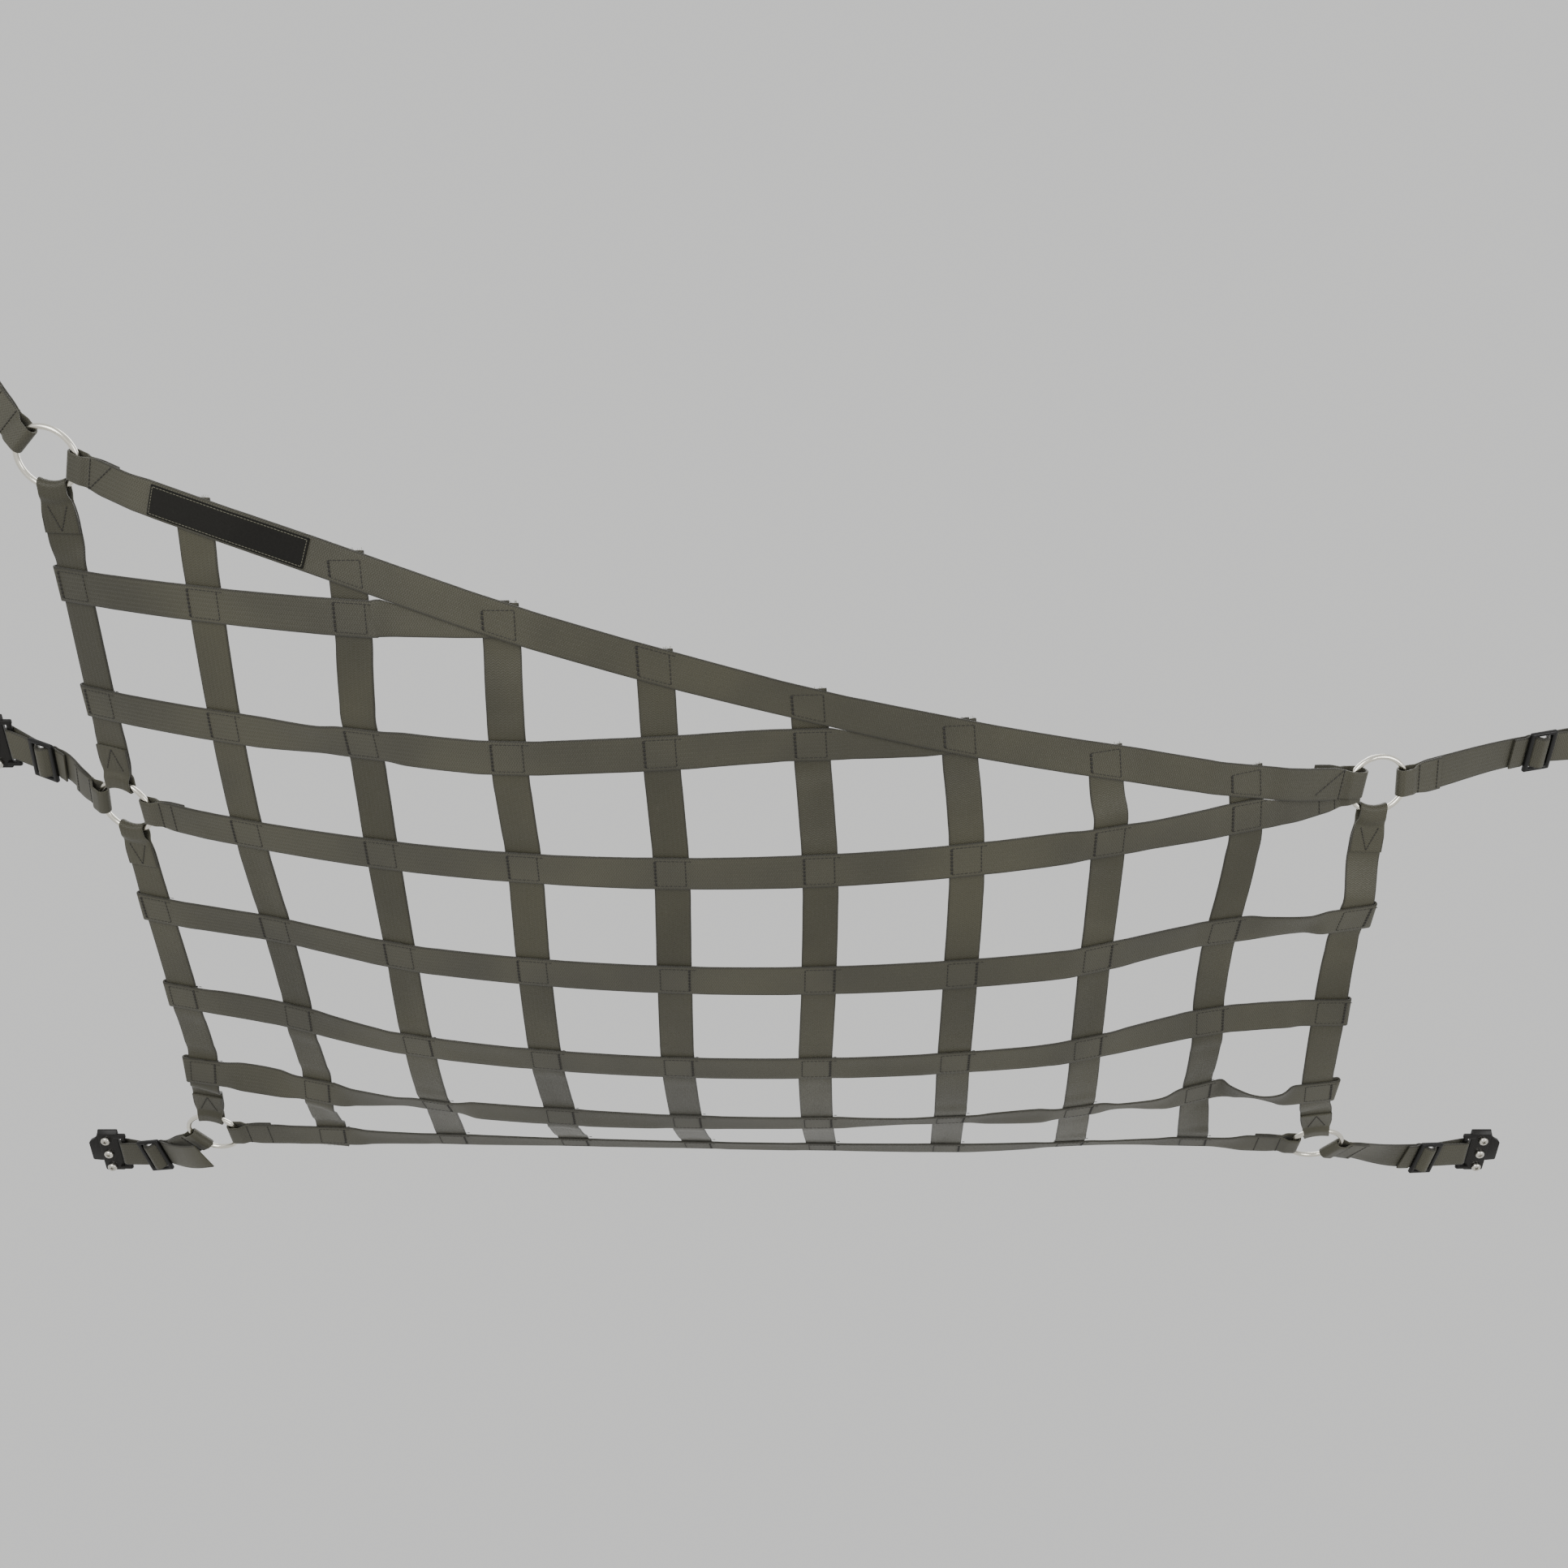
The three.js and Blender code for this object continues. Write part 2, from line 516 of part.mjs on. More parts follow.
function diagonalPath() {
  const length = diagonal.pitch * diagonal.last;
  const { off, nose, dropAfter, dropLength } = OUTER_FOLD;
  const dropStart = diagonalLine.patches[diagonal.last - 1].u + dropAfter;
  const height = (u) => -HALF_LAYER - off * smooth(u, dropStart, dropStart + dropLength);
  const stops = mainStops(diagonalLine, FOLD.flat, length - FOLD.flat, height);
  const extra = [0, 1, 2, 3].map((k) => dropStart + dropLength * k / 3).map((u) => ({ u, h: height(u) }));
  const kept = stops.filter(({ u }) => u < dropStart - 3 || u > dropStart + dropLength + 3);
  return [
    ...foldRoundRing(diagonalLine.patches[0], -HALF_LAYER, (r) => r).reverse(),
    ...[...kept, ...extra].sort((a, b) => a.u - b.u),
    ...foldRoundRing(diagonalLine.patches.at(-1), -HALF_LAYER - off, (r) => length - r, nose),
  ];
}

// An inner length strap: a cut end past the first cross strap, and one past the diagonal.
function lengthStrapPath(line, column) {
  const [first, last] = [line.patches[0], line.patches.at(-1)];
  const overTuck = TUCKED.some((key) => rows[key].last === column);
  const top = last.u - last.half;
  const height = (u) => HALF_LAYER + (overTuck ? TUCK.lift * smooth(u, top - 35, top) : 0);
  return mainStops(line, first.u - first.half - END_POKE, last.u + HEAD_END, height);
}

// An outer length strap runs from ring to ring.
function edgeStrapPath(line, fromLevel, toLevel) {
  const [from, to] = [fromLevel * COLUMN_PITCH, toLevel * COLUMN_PITCH];
  return [
    ...foldRoundRing(line.patches[0], HALF_LAYER, (r) => from + r).reverse(),
    ...mainStops(line, from + FOLD.flat, to - FOLD.flat, () => HALF_LAYER),
    ...foldRoundRing(line.patches.at(-1), HALF_LAYER, (r) => to - r),
  ];
}

// Hard pieces

function solidOf(geometry) {
  const bare = geometry.clone();
  bare.deleteAttribute('normal');
  bare.deleteAttribute('uv');
  const merged = mergeVertices(bare);
  return new wasm.Manifold(new wasm.Mesh({
    numProp: 3, vertProperties: merged.attributes.position.array, triVerts: merged.index.array,
  }));
}

function geometryOf(solid) {
  const mesh = solid.getMesh();
  const geometry = new THREE.BufferGeometry();
  geometry.setAttribute('position', new THREE.BufferAttribute(mesh.vertProperties, 3));
  geometry.setIndex(new THREE.BufferAttribute(mesh.triVerts, 1));
  geometry.computeVertexNormals();
  return geometry;
}

const join = (geometries) => geometries.map(solidOf).reduce((sum, solid) => sum.add(solid));
const block = (low, high) => new THREE.BoxGeometry(high[0] - low[0], high[1] - low[1], high[2] - low[2])
  .translate((low[0] + high[0]) / 2, (low[1] + high[1]) / 2, (low[2] + high[2]) / 2);

// A three-bar slide. Its bars run along Y, and the strap along X.
function buckleGeometry() {
  const { outerBar, centreBar, pitch, railInner, railOuter } = BUCKLE;
  const middle = (railInner + railOuter) / 2;
  const bar = (radius, x) => new THREE.CylinderGeometry(radius, radius, 2 * middle, 10).translate(x, 0, 0);
  const rail = (side) => block(
    [-pitch - outerBar, side > 0 ? railInner : -railOuter, -outerBar],
    [pitch + outerBar, side > 0 ? railOuter : -railInner, outerBar],
  );
  return geometryOf(join([bar(outerBar, -pitch), bar(centreBar, 0), bar(outerBar, pitch), rail(1), rail(-1)]));
}

// A bracket seen with its middle at y = 0. side is -1 on the left and 1 on the right.
function bracketGeometry(side) {
  const b = BRACKET;
  const outline = new THREE.Shape([
    [b.inner, -b.halfLength], [b.outer, -b.halfLength],
    [b.outer, b.halfLength - b.corner], [b.outer - b.corner, b.halfLength],
    [b.inner + b.corner, b.halfLength], [b.inner, b.halfLength - b.corner],
  ].map(([x, y]) => new THREE.Vector2(side * x, y)));
  const plate = new THREE.ExtrudeGeometry(outline, { depth: b.thick, bevelEnabled: false }).translate(0, 0, -b.thick);
  const sided = (low, high) => block(
    [Math.min(side * low[0], side * high[0]), low[1], low[2]],
    [Math.max(side * low[0], side * high[0]), high[1], high[2]],
  );
  const wingOutline = new THREE.Shape(b.wing.map(([x, y]) => new THREE.Vector2(side * (b.outer + x), y)));
  const wing = new THREE.ExtrudeGeometry(wingOutline, { depth: b.wingThick, bevelEnabled: false })
    .translate(0, 0, -b.wingThick);
  const armZ = BAR_Z - b.armThick / 2;
  const arm = (low, high) => sided([BAR_X - b.armOver, low, armZ], [b.inner + 3, high, armZ + b.armThick]);
  const bar = new THREE.CylinderGeometry(b.bar, b.bar, 2 * b.armInner + 2, 12).translate(side * BAR_X, 0, BAR_Z);
  const bevel = new THREE.BoxGeometry(60, 2 * b.bevel, 2 * b.bevel).rotateX(Math.PI / 4)
    .translate(side * b.inner, -b.halfLength, -b.thick);
  const holes = screwPlaces().map((y) => new THREE.CylinderGeometry(SCREW.shank + GAP, SCREW.shank + GAP, 20, 12)
    .rotateX(Math.PI / 2).translate(side * b.screwX, y, 0));
  const body = join([plate, wing, bar, arm(b.armInner, b.armOuter), arm(-b.armOuter, -b.armInner)]);
  return geometryOf([bevel, ...holes].reduce((solid, cut) => solid.subtract(solidOf(cut)), body));
}

const screwPlaces = () => [-1, 0, 1].map((k) => BRACKET.screwY + k * BRACKET.screwPitch);

// A pan head under the plate with its shank through it.
function screwGeometry() {
  const seat = -BRACKET.thick - GAP;
  const profile = [
    [0, seat - SCREW.headHeight], [SCREW.head * 0.55, seat - SCREW.headHeight * 0.9],
    [SCREW.head * 0.9, seat - SCREW.headHeight * 0.5], [SCREW.head, seat - SCREW.headHeight * 0.15],
    [SCREW.head * 0.96, seat], [SCREW.shank, seat], [SCREW.shank, 0], [0, 0],
  ].map(([x, y]) => new THREE.Vector2(x, y));
  return geometryOf(solidOf(new THREE.LatheGeometry(profile, 12).rotateX(Math.PI / 2)));
}

// Anchors

// The strap between a ring and its bracket. h points to the underside here.
function anchorLine({ strap, column, buckle, bar }) {
  const ring = ringAt(strap, column);
  const y = new THREE.Vector3(0, 1, 0);
  const facing = (direction) => {
    const normal = cross(direction, y).normalize();
    return normal.z > 0 ? normal.negate() : normal;
  };
  const pull = vec(buckle).sub(ring.centre).normalize();
  const buckleNormal = facing(pull);
  const threaded = vec(buckle).addScaledVector(buckleNormal, -BUCKLE.depth);
  const pullAtBar = inPlane(vec(bar).sub(threaded), y);
  const barNormal = facing(pullAtBar);
  const barDepth = RING_WIRE / 2 + GAP + WEB_THICK / 2 - HALF_LAYER;
  const looped = vec(bar).addScaledVector(barNormal, -barDepth);
  const turned = threaded.clone().sub(ring.centre).normalize().add(pullAtBar).normalize();
  const entry = threaded.clone().addScaledVector(turned, -BUCKLE.flat);
  const hung = { ...hungPatch(ring, entry, 0, 1), half: FOLD.closed - RING_MEAN - 1, ease: 1 };
  hung.normal.negate();
  const uBuckle = RING_MEAN + entry.distanceTo(hung.point) + BUCKLE.flat;
  const uBar = uBuckle + looped.distanceTo(threaded);
  const slide = { u: uBuckle, point: threaded, along: turned, normal: inPlane(buckleNormal, turned),
    half: BUCKLE.flat, ease: 1, easeAfter: 8 };
  const bent = { u: uBar, point: looped, along: pullAtBar, normal: barNormal, half: 5, ease: 8 };
  const knots = [hung, shifted(hung, FOLD.closed - RING_MEAN), shifted(slide, -BUCKLE.flat), slide, bent];
  return Object.assign(new StrapLine(smoothBase(knots), [hung, slide, bent]), { uBuckle, uBar, barDepth });
}

const shifted = (patch, du) => ({ ...patch, u: patch.u + du,
  point: patch.point.clone().addScaledVector(patch.along, du) });

// Points on an arc round a pin, angles counted from below it towards +u.
const arc = (pin, radius, from, to, steps) => Array.from({ length: steps + 1 }, (_, k) => {
  const angle = THREE.MathUtils.degToRad(from + (to - from) * k / steps);
  return { u: pin.u + radius * Math.sin(angle), h: pin.h - radius * Math.cos(angle) };
});

// Round the ring, up over the centre bar of the buckle, round the bracket's bar, and back through the buckle.
function anchorPath({ patches, uBuckle, uBar, barDepth }, { tail, droop, loose, swing, slant }) {
  const { outerBar, centreBar, pitch, depth } = BUCKLE;
  const touch = GAP + WEB_THICK / 2;
  const pins = [-pitch, 0, pitch].map((du) => ({ u: uBuckle + du, h: depth - HALF_LAYER }));
  const [inner, centre, outer] = pins;
  const bar = { u: uBar, h: barDepth };
  const inside = outerBar + touch;
  const outside = inside + LAYER;
  const over = centreBar + touch;
  const slope = THREE.MathUtils.radToDeg(Math.asin((outside + over) / pitch));
  const barRadius = BRACKET.bar + touch;
  const away = Math.hypot(bar.u - outer.u, bar.h - outer.h);
  const lean = THREE.MathUtils.radToDeg(Math.atan2(bar.h - outer.h, bar.u - outer.u));
  const back = THREE.MathUtils.radToDeg(Math.asin((barRadius + inside) / away)) + lean;
  const tailSteps = 6;
  const clear = BUCKLE.flat - pitch;
  const free = Array.from({ length: tailSteps + 1 }, (_, k) => {
    const share = k / tailSteps;
    const u = inner.u - clear - (tail - clear) * share;
    return { u, pin: loose ? inner.u : u,
      h: inner.h - inside + TAIL.clear + (droop - TAIL.clear) * Math.sin(share * Math.PI / 2),
      aside: swing * share, slant: share === 1 ? slant : 0 };
  });
  return [
    ...foldRoundRing(patches[0], -HALF_LAYER, (r) => r).reverse(),
    ...[0, 1, 2, 3].map((k) => ({ u: FOLD.end + (uBuckle - BUCKLE.flat - FOLD.end) * k / 3, h: -HALF_LAYER })),
    ...arc(inner, outside, 0, slope, 2),
    ...arc(centre, over, 180 + slope, 180 - slope, 4),
    ...arc(outer, outside, -slope, 0, 2),
    ...arc(bar, barRadius, 0, 180 + back, 8),
    ...arc(outer, inside, back, -slope, 3),
    ...arc(centre, over + LAYER, 180 - slope, 180 + slope, 4),
    ...arc(inner, inside, slope, -TAIL.angle, 3),
    ...free,
  ];
}

// Assembly

const net = new THREE.Group();

function addPiece(name, geometry, look, parent = net) {
  const mesh = new THREE.Mesh(geometry, new THREE.MeshStandardMaterial(look));
  mesh.name = name;
  parent.add(mesh);
  return mesh;
}

CROSS_STRAPS.forEach(({ key }, k) => {
  const line = rowLines[key];
  addPiece(`cross_strap_${k + 1}`, ribbon(line, crossStrapPath(rows[key], line)), WEBBING);
});

const diagonalStops = diagonalPath();
addPiece('diagonal_strap', ribbon(diagonalLine, diagonalStops), WEBBING);

const labelHeight = -HALF_LAYER - WEB_THICK / 2 - GAP - LABEL.thick / 2;
const labelMarks = [LABEL.start, ...diagonalStops.map(({ u }) => u)
  .filter((u) => u > LABEL.start + 1 && u < LABEL.end - 1), LABEL.end];
const labelPath = labelMarks.map((u) => ({ u, h: labelHeight, near: LABEL.width / 2, far: LABEL.width / 2 }));
addPiece('label_patch', ribbon(diagonalLine, labelPath, LABEL.thick), PATCH);

for (let column = 1; column < DIAGONAL.last; column++) {
  const line = lengthStrapLine(column, 0, LAST_LEVEL);
  addPiece(`length_strap_${column}`, ribbon(line, lengthStrapPath(line, column)), WEBBING);
}
const EDGE_STRAPS = [
  { name: 'edge_strap_left_far', column: 0, from: 0, to: 4 },
  { name: 'edge_strap_left_near', column: 0, from: 4, to: LAST_LEVEL },
  { name: 'edge_strap_right', column: DIAGONAL.last, from: 0, to: 4 },
];
for (const { name, column, from, to } of EDGE_STRAPS) {
  const line = lengthStrapLine(column, from, to);
  addPiece(name, ribbon(line, edgeStrapPath(line, from, to)), WEBBING);
}

for (const anchor of ANCHORS) {
  const { centre, normal } = ringAt(anchor.strap, anchor.column);
  const ring = addPiece(`ring_${anchor.ring}`, new THREE.TorusGeometry(RING_MEAN, RING_WIRE / 2, 8, 32), STEEL);
  ring.position.copy(centre);
  ring.quaternion.setFromUnitVectors(new THREE.Vector3(0, 0, 1), normal);

  const line = anchorLine(anchor);
  addPiece(`anchor_strap_${anchor.ring}`, ribbon(line, anchorPath(line, anchor)), WEBBING);

  const threaded = line.at(line.uBuckle);
  const buckle = addPiece(`buckle_${anchor.ring}`, buckleGeometry(), BLACK);
  buckle.position.copy(threaded.point).addScaledVector(threaded.normal, BUCKLE.depth - HALF_LAYER);
  buckle.setRotationFromMatrix(new THREE.Matrix4().makeBasis(threaded.along, threaded.across, threaded.normal));

  const place = new THREE.Group();
  place.position.set(0, anchor.bar[1], 0);
  const side = Math.sign(anchor.bar[0]);
  addPiece(`bracket_${anchor.ring}`, bracketGeometry(side), BLACK, place);
  screwPlaces().forEach((y, k) => {
    const screw = addPiece(`screw_${anchor.ring}_${k + 1}`, screwGeometry(), STEEL, place);
    screw.position.set(side * BRACKET.screwX, y, 0);
  });
  net.add(place);
}

export default net;
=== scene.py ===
"""Looks of a storage net: sewn webbing, welded rings, slides, brackets, and the studio round them.

The tables and lengths are millimetres, with the panel's underside at z = 0 and the hinge side at +Y.
Meshes are made in metres.
"""

import logging
import math
import random
from collections.abc import Callable, Sequence
from dataclasses import dataclass, field, replace
from enum import Enum
from functools import cache

import bpy
import numpy as np
from mathutils import Matrix, Vector


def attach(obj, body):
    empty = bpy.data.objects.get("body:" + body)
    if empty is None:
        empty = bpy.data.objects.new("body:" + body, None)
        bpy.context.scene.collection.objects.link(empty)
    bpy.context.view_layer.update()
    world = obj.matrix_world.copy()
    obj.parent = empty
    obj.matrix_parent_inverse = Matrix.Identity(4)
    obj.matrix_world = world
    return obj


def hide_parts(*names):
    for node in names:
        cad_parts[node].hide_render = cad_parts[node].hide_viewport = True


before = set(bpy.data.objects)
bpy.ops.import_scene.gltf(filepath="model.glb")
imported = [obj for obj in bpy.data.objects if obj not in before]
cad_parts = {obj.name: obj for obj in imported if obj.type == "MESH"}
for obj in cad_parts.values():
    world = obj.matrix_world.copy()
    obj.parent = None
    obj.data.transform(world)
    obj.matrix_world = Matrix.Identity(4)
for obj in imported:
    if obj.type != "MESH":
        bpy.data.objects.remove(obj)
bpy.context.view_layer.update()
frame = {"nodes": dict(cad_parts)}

log = logging.getLogger("storage_net")
Piece = bpy.types.Object
Socket = bpy.types.NodeSocket

MM = 0.001
WEB_WIDTH = 25.0
WEB_THICK = 1.5
GAP = 0.3
LAYER = WEB_THICK + GAP
HALF_LAYER = LAYER / 2
HALF_WIDTH = WEB_WIDTH / 2
FACE = HALF_LAYER + WEB_THICK / 2      # from the middle of a crossing to the outside of either strap
RING_WIRE = 4.0
RING_MEAN = 21.0
EASE = 18.0
COLUMN_PITCH = 90.0
LAST_LEVEL = 7
SECTION_STEP = 3.0                     # distance between two cross sections of a strap
TUCKED = ("A", "B", "C")               # cross straps that end at the diagonal


class Held(Enum):
    """How a strap is held."""

    HUNG = "hung"
    STRETCHED = "stretched"


class LoopSeam(Enum):
    """Pattern of the stitches that close a loop round a ring."""

    LINES = "two lines across"
    TRIANGLE = "a line across and a triangle behind it"
    SLANT = "a line across and a slant from its near end"
    VEE = "a vee that points away from the ring"


@dataclass(frozen=True)
class Fold:
    """A fold or twist of a hanging strap, in columns, millimetres and degrees."""

    at: float
    reach: float
    lift: float = 0.0
    turn: float = 0.0
    slip: float = 0.0


@dataclass(frozen=True)
class HungStrap:
    """A strap that hangs from left to right, with its sag and bow at both thirds of its length."""

    key: str
    level: int
    last: int
    left: tuple[float, float, float]
    right: tuple[float, float, float]
    sag: tuple[float, float]
    bow: tuple[float, float]
    folds: tuple[Fold, ...] = ()


CROSS_STRAPS = (
    HungStrap("G", 0, 9, (-490, -51, -28), (432, -61, -52), (12, 13), (-5, -4),
              (Fold(0.9, 0.6, turn=10), Fold(7.6, 1.6, lift=7, turn=-14))),
    HungStrap("F", 1, 9, (-480, -134, -46), (413, -144, -79), (40, 36), (2, 2),
              (Fold(0.5, 0.9, lift=4, turn=30), Fold(1.8, 0.6, lift=2, turn=-16), Fold(3.0, 1.8, turn=9),
               Fold(5.8, 0.9, turn=-12), Fold(6.8, 3.0, slip=7), Fold(7.4, 0.7, lift=5, turn=-20),
               Fold(8.15, 0.6, lift=14), Fold(8.5, 0.4, lift=-4, turn=-32))),
    HungStrap("E", 2, 9, (-477, -222, -57), (407, -232, -92), (58, 53), (4, 4),
              (Fold(0.8, 1.2, lift=9, turn=6), Fold(6.8, 3.0, slip=7), Fold(8.1, 1.6, lift=17, turn=12))),
    HungStrap("D", 3, 9, (-479, -311, -60), (408, -324, -88), (65, 61), (3, 5),
              (Fold(1.0, 1.3, lift=8), Fold(6.0, 3.0, slip=5), Fold(7.9, 1.3, lift=14, turn=-8),
               Fold(8.7, 0.7, turn=-28))),
    HungStrap("C", 4, 9, (-485, -403, -57), (416, -424, -60), (73, 67), (8, 12), (Fold(7.2, 0.7, turn=-14),)),
    HungStrap("B", 5, 6, (-484, -491, -59), (109, -492, -107), (40, 36), (-2, -1),
              (Fold(1.75, 0.6, turn=-16), Fold(2.9, 1.1, lift=-7), Fold(4.8, 1.1, lift=7))),
    HungStrap("A", 6, 3, (-484, -581, -56), (-190, -582, -112), (12, 9), (-2, 0)),
)
DIAGONAL = HungStrap("T", 7, 9, (-486, -670, -48), (416, -424, -60), (60, 51), (6, 14),
                     (Fold(1.8, 1.6, lift=5), Fold(4.5, 3.5, lift=2, slip=-4), Fold(8.0, 1.0, lift=-5)))


@dataclass(frozen=True)
class AnchorPlan:
    """A ring, its lean to +X and +Y, and the slide, bracket bar and free tail of the strap that holds it."""

    ring: int
    strap: str
    column: int
    lean: tuple[float, float]
    slide: tuple[float, float, float]
    bar: tuple[float, float, float]
    tail: float = 14.0
    droop: float = 1.5
    loose: bool = False
    swing: float = 0.0
    slant: float = 0.0


BAR_X = 580.0
BAR_Z = -4.5
ANCHORS = (
    AnchorPlan(1, "T", 0, (0.15, 0.03), (-556.7, -734.2, -15.3), (-BAR_X, -755, BAR_Z)),
    AnchorPlan(2, "C", 0, (0.35, -0.05), (-557, -415, -15), (-BAR_X, -424, BAR_Z), tail=12, droop=2),
    AnchorPlan(3, "T", 9, (-0.13, 0.2), (548.4, -423, -15), (BAR_X, -424, BAR_Z)),
    AnchorPlan(4, "G", 0, (0.11, -0.16), (-553, -6, -12), (-BAR_X, -4, BAR_Z), tail=51, droop=15, loose=True,
               swing=-5, slant=4),
    AnchorPlan(5, "G", 9, (-0.02, -0.32), (545.5, -6, -15), (BAR_X, -4, BAR_Z)),
)


@dataclass(frozen=True)
class LoopSizes:
    """Distances from a ring's centre along a strap that is folded round the ring."""

    nose: float = 18.1
    opened: float = 24.0
    closed: float = 31.0
    end: float = 52.0
    flat: float = 56.0
    half_width: float = 10.0
    wide_from: float = 22.0
    wide_to: float = 42.0
    arch_from: float = 24.0
    arch_to: float = 38.0
    clear: float = 0.8
    lift: float = RING_WIRE / 2 + GAP + WEB_THICK / 2 + 0.25 - HALF_LAYER
    steps: tuple[int, int, int] = (22, 14, 20)     # inwards, round the wire and outwards


LOOP = LoopSizes()
OUTER_LOOP = replace(LOOP, nose=16.6)
OUTER_OFF = 2.5            # the diagonal's loop at ring 3 lies this far outside the cross strap's
INNER_LIFT = 0.45          # and the cross strap's stands this much further off the wire
DROP_AFTER, DROP_LENGTH = 18.0, 16.0     # where the diagonal goes down to its loop, past its last crossing
WRAP_LENGTH, WRAP_FLAT, WRAP_START, WRAP_CLOSE = 22.0, 18.0, 1.5, 0.2     # ends round an outer strap
CREASE, CROSS_CREASE, CREASE_EASE = 1.0, 0.7, 14.0     # of the length straps, of the cross straps
END_POKE, HEAD_END = 3.0, 10.5    # cut ends past the edge of a cross strap, past the diagonal's middle
HEAD_RISE = 35.0                  # where a length strap rises over a cross strap that is tucked under it
TUCK_RISE, TUCK_FULL, TUCK_EASE = 30.0, 32.0, 4.0     # along a tucked strap, past its last crossing
TUCK_LIFT, TUCK_END = LAYER + 0.2, 7.0
TRIM_CLEAR = 0.7                  # between its narrowed side and the diagonal
# Top lines of the boxes at the diagonal, past the crossing's middle. Strap 4's follows the diagonal.
BOX_HEADS = {1: 6.5, 2: 4.5, 3: 6.5, 5: 8.5, 6: 9.0, 7: 7.5, 8: 7.0}
# Cross straps whose boxes are sewn double on the right, from this length strap on. The rest are on the left.
DOUBLE_RIGHT = {"G": 0, "F": 0, "E": 0, "D": 4}
# Outer length straps: name, column, and the levels of the rings at both ends.
EDGE_STRAPS = (
    ("edge_strap_left_far", 0, 0, 4),
    ("edge_strap_left_near", 0, 4, 7),
    ("edge_strap_right", 9, 0, 4),
)
ANCHOR_STRAIGHT, ANCHOR_EASE = 19.0, 1.0     # straight part of an anchor strap, from the wire
BAR_FLAT, BAR_EASE = 5.0, 8.0                # and at its bracket's bar
TAIL_ANGLE, TAIL_CLEAR = 22.0, 1.3           # where the tail leaves the slide


# Geometry of the hanging net


def smooth(value: float, low: float, high: float) -> float:
    """Height of a soft step at a value, from 0 at low to 1 at high."""
    share = min(max((value - low) / (high - low), 0.0), 1.0)
    return share * share * (3 - 2 * share)


def in_plane(direction: Vector, normal: Vector) -> Vector:
    """The unit direction that is left once its part along the normal is taken away."""
    return (direction - normal * direction.dot(normal)).normalized()


@dataclass
class Frame:
    """A place on a strap: its point, the way it runs, its upper face and the way across it."""

    point: Vector
    along: Vector
    normal: Vector
    across: Vector


@dataclass
class Patch:
    """A place where the sewing keeps a strap flat and straight."""

    u: float
    point: Vector
    along: Vector
    normal: Vector
    down: Vector
    half: float
    ease: float = EASE
    ease_after: float | None = None
    lift: float = 0.0

    def shifted(self, distance: float) -> "Patch":
        """The same flat place, seen from further along the strap."""
        return replace(self, u=self.u + distance, point=self.point + self.along * distance)


@dataclass
class Crossing:
    """Where a length strap meets a cross strap or the diagonal."""

    key: str
    column: int
    level: float
    point: Vector
    down: Vector = field(default_factory=Vector)
    normal: Vector = field(default_factory=Vector)


@dataclass
class Ring:
    """Centre and axis of a ring."""

    strap: str
    column: int
    centre: Vector
    normal: Vector


class HangingCurve:
    """The hanging curve of a cross strap, measured by columns along its length."""

    DIVISIONS = 400
    STEP = 0.05     # in columns, to either side of a place where the direction is wanted

    def __init__(self, strap: HungStrap) -> None:
        """Fits a cubic through both ends and both thirds.

        Args:
            strap: the strap's row of the table.
        """
        self.strap = strap
        left, right = Vector(strap.left), Vector(strap.right)
        thirds = [left.lerp(right, (k + 1) / 3) + Vector((0, strap.bow[k], -strap.sag[k])) for k in (0, 1)]
        self.controls = (
            left,
            (-5 * left + 18 * thirds[0] - 9 * thirds[1] + 2 * right) / 6,
            (2 * left - 9 * thirds[0] + 18 * thirds[1] - 5 * right) / 6,
            right,
        )
        points = [self._cubic(k / self.DIVISIONS) for k in range(self.DIVISIONS + 1)]
        steps = [(b - a).length for a, b in zip(points, points[1:])]
        self.reached = np.concatenate([[0.0], np.cumsum(steps)])
        self.pitch = float(self.reached[-1]) / strap.last

    def _cubic(self, t: float) -> Vector:
        """A point of the cubic.

        Args:
            t: its parameter, from 0 to 1.

        Returns:
            The point.
        """
        a, b, c, d = self.controls
        s = 1 - t
        return a * s**3 + b * (3 * t * s * s) + c * (3 * t * t * s) + d * t**3

    def fold(self, column: float, quantity: str) -> float:
        """Sum of one quantity of the strap's folds.

        Args:
            column: place along the strap.
            quantity: lift, turn or slip.

        Returns:
            The sum at that place.
        """
        total = 0.0
        for bend in self.strap.folds:
            near = min(abs(column - bend.at) / bend.reach, 1.0)
            total += getattr(bend, quantity) * 0.5 * (1 + math.cos(math.pi * near))
        return total

    def point(self, column: float) -> Vector:
        """Where the strap is at a column.

        Args:
            column: place along the strap, whole at its crossings.

        Returns:
            The point, with its folds.
        """
        share = min(max((column + self.fold(column, "slip") / self.pitch) / self.strap.last, 0.0), 1.0)
        place = np.interp(share * self.reached[-1], self.reached, np.arange(self.DIVISIONS + 1))
        found = self._cubic(float(place) / self.DIVISIONS)
        found.z += self.fold(column, "lift")
        return found

    def along(self, column: float) -> Vector:
        """Direction of the strap at a column."""
        after, before = min(column + self.STEP, self.strap.last), max(column - self.STEP, 0)
        return (self.point(after) - self.point(before)).normalized()


Base = Callable[[float], tuple[Vector, Vector]]     # point and upper face by distance along a strap
Height = Callable[[float], float]                   # a height over its line by that distance


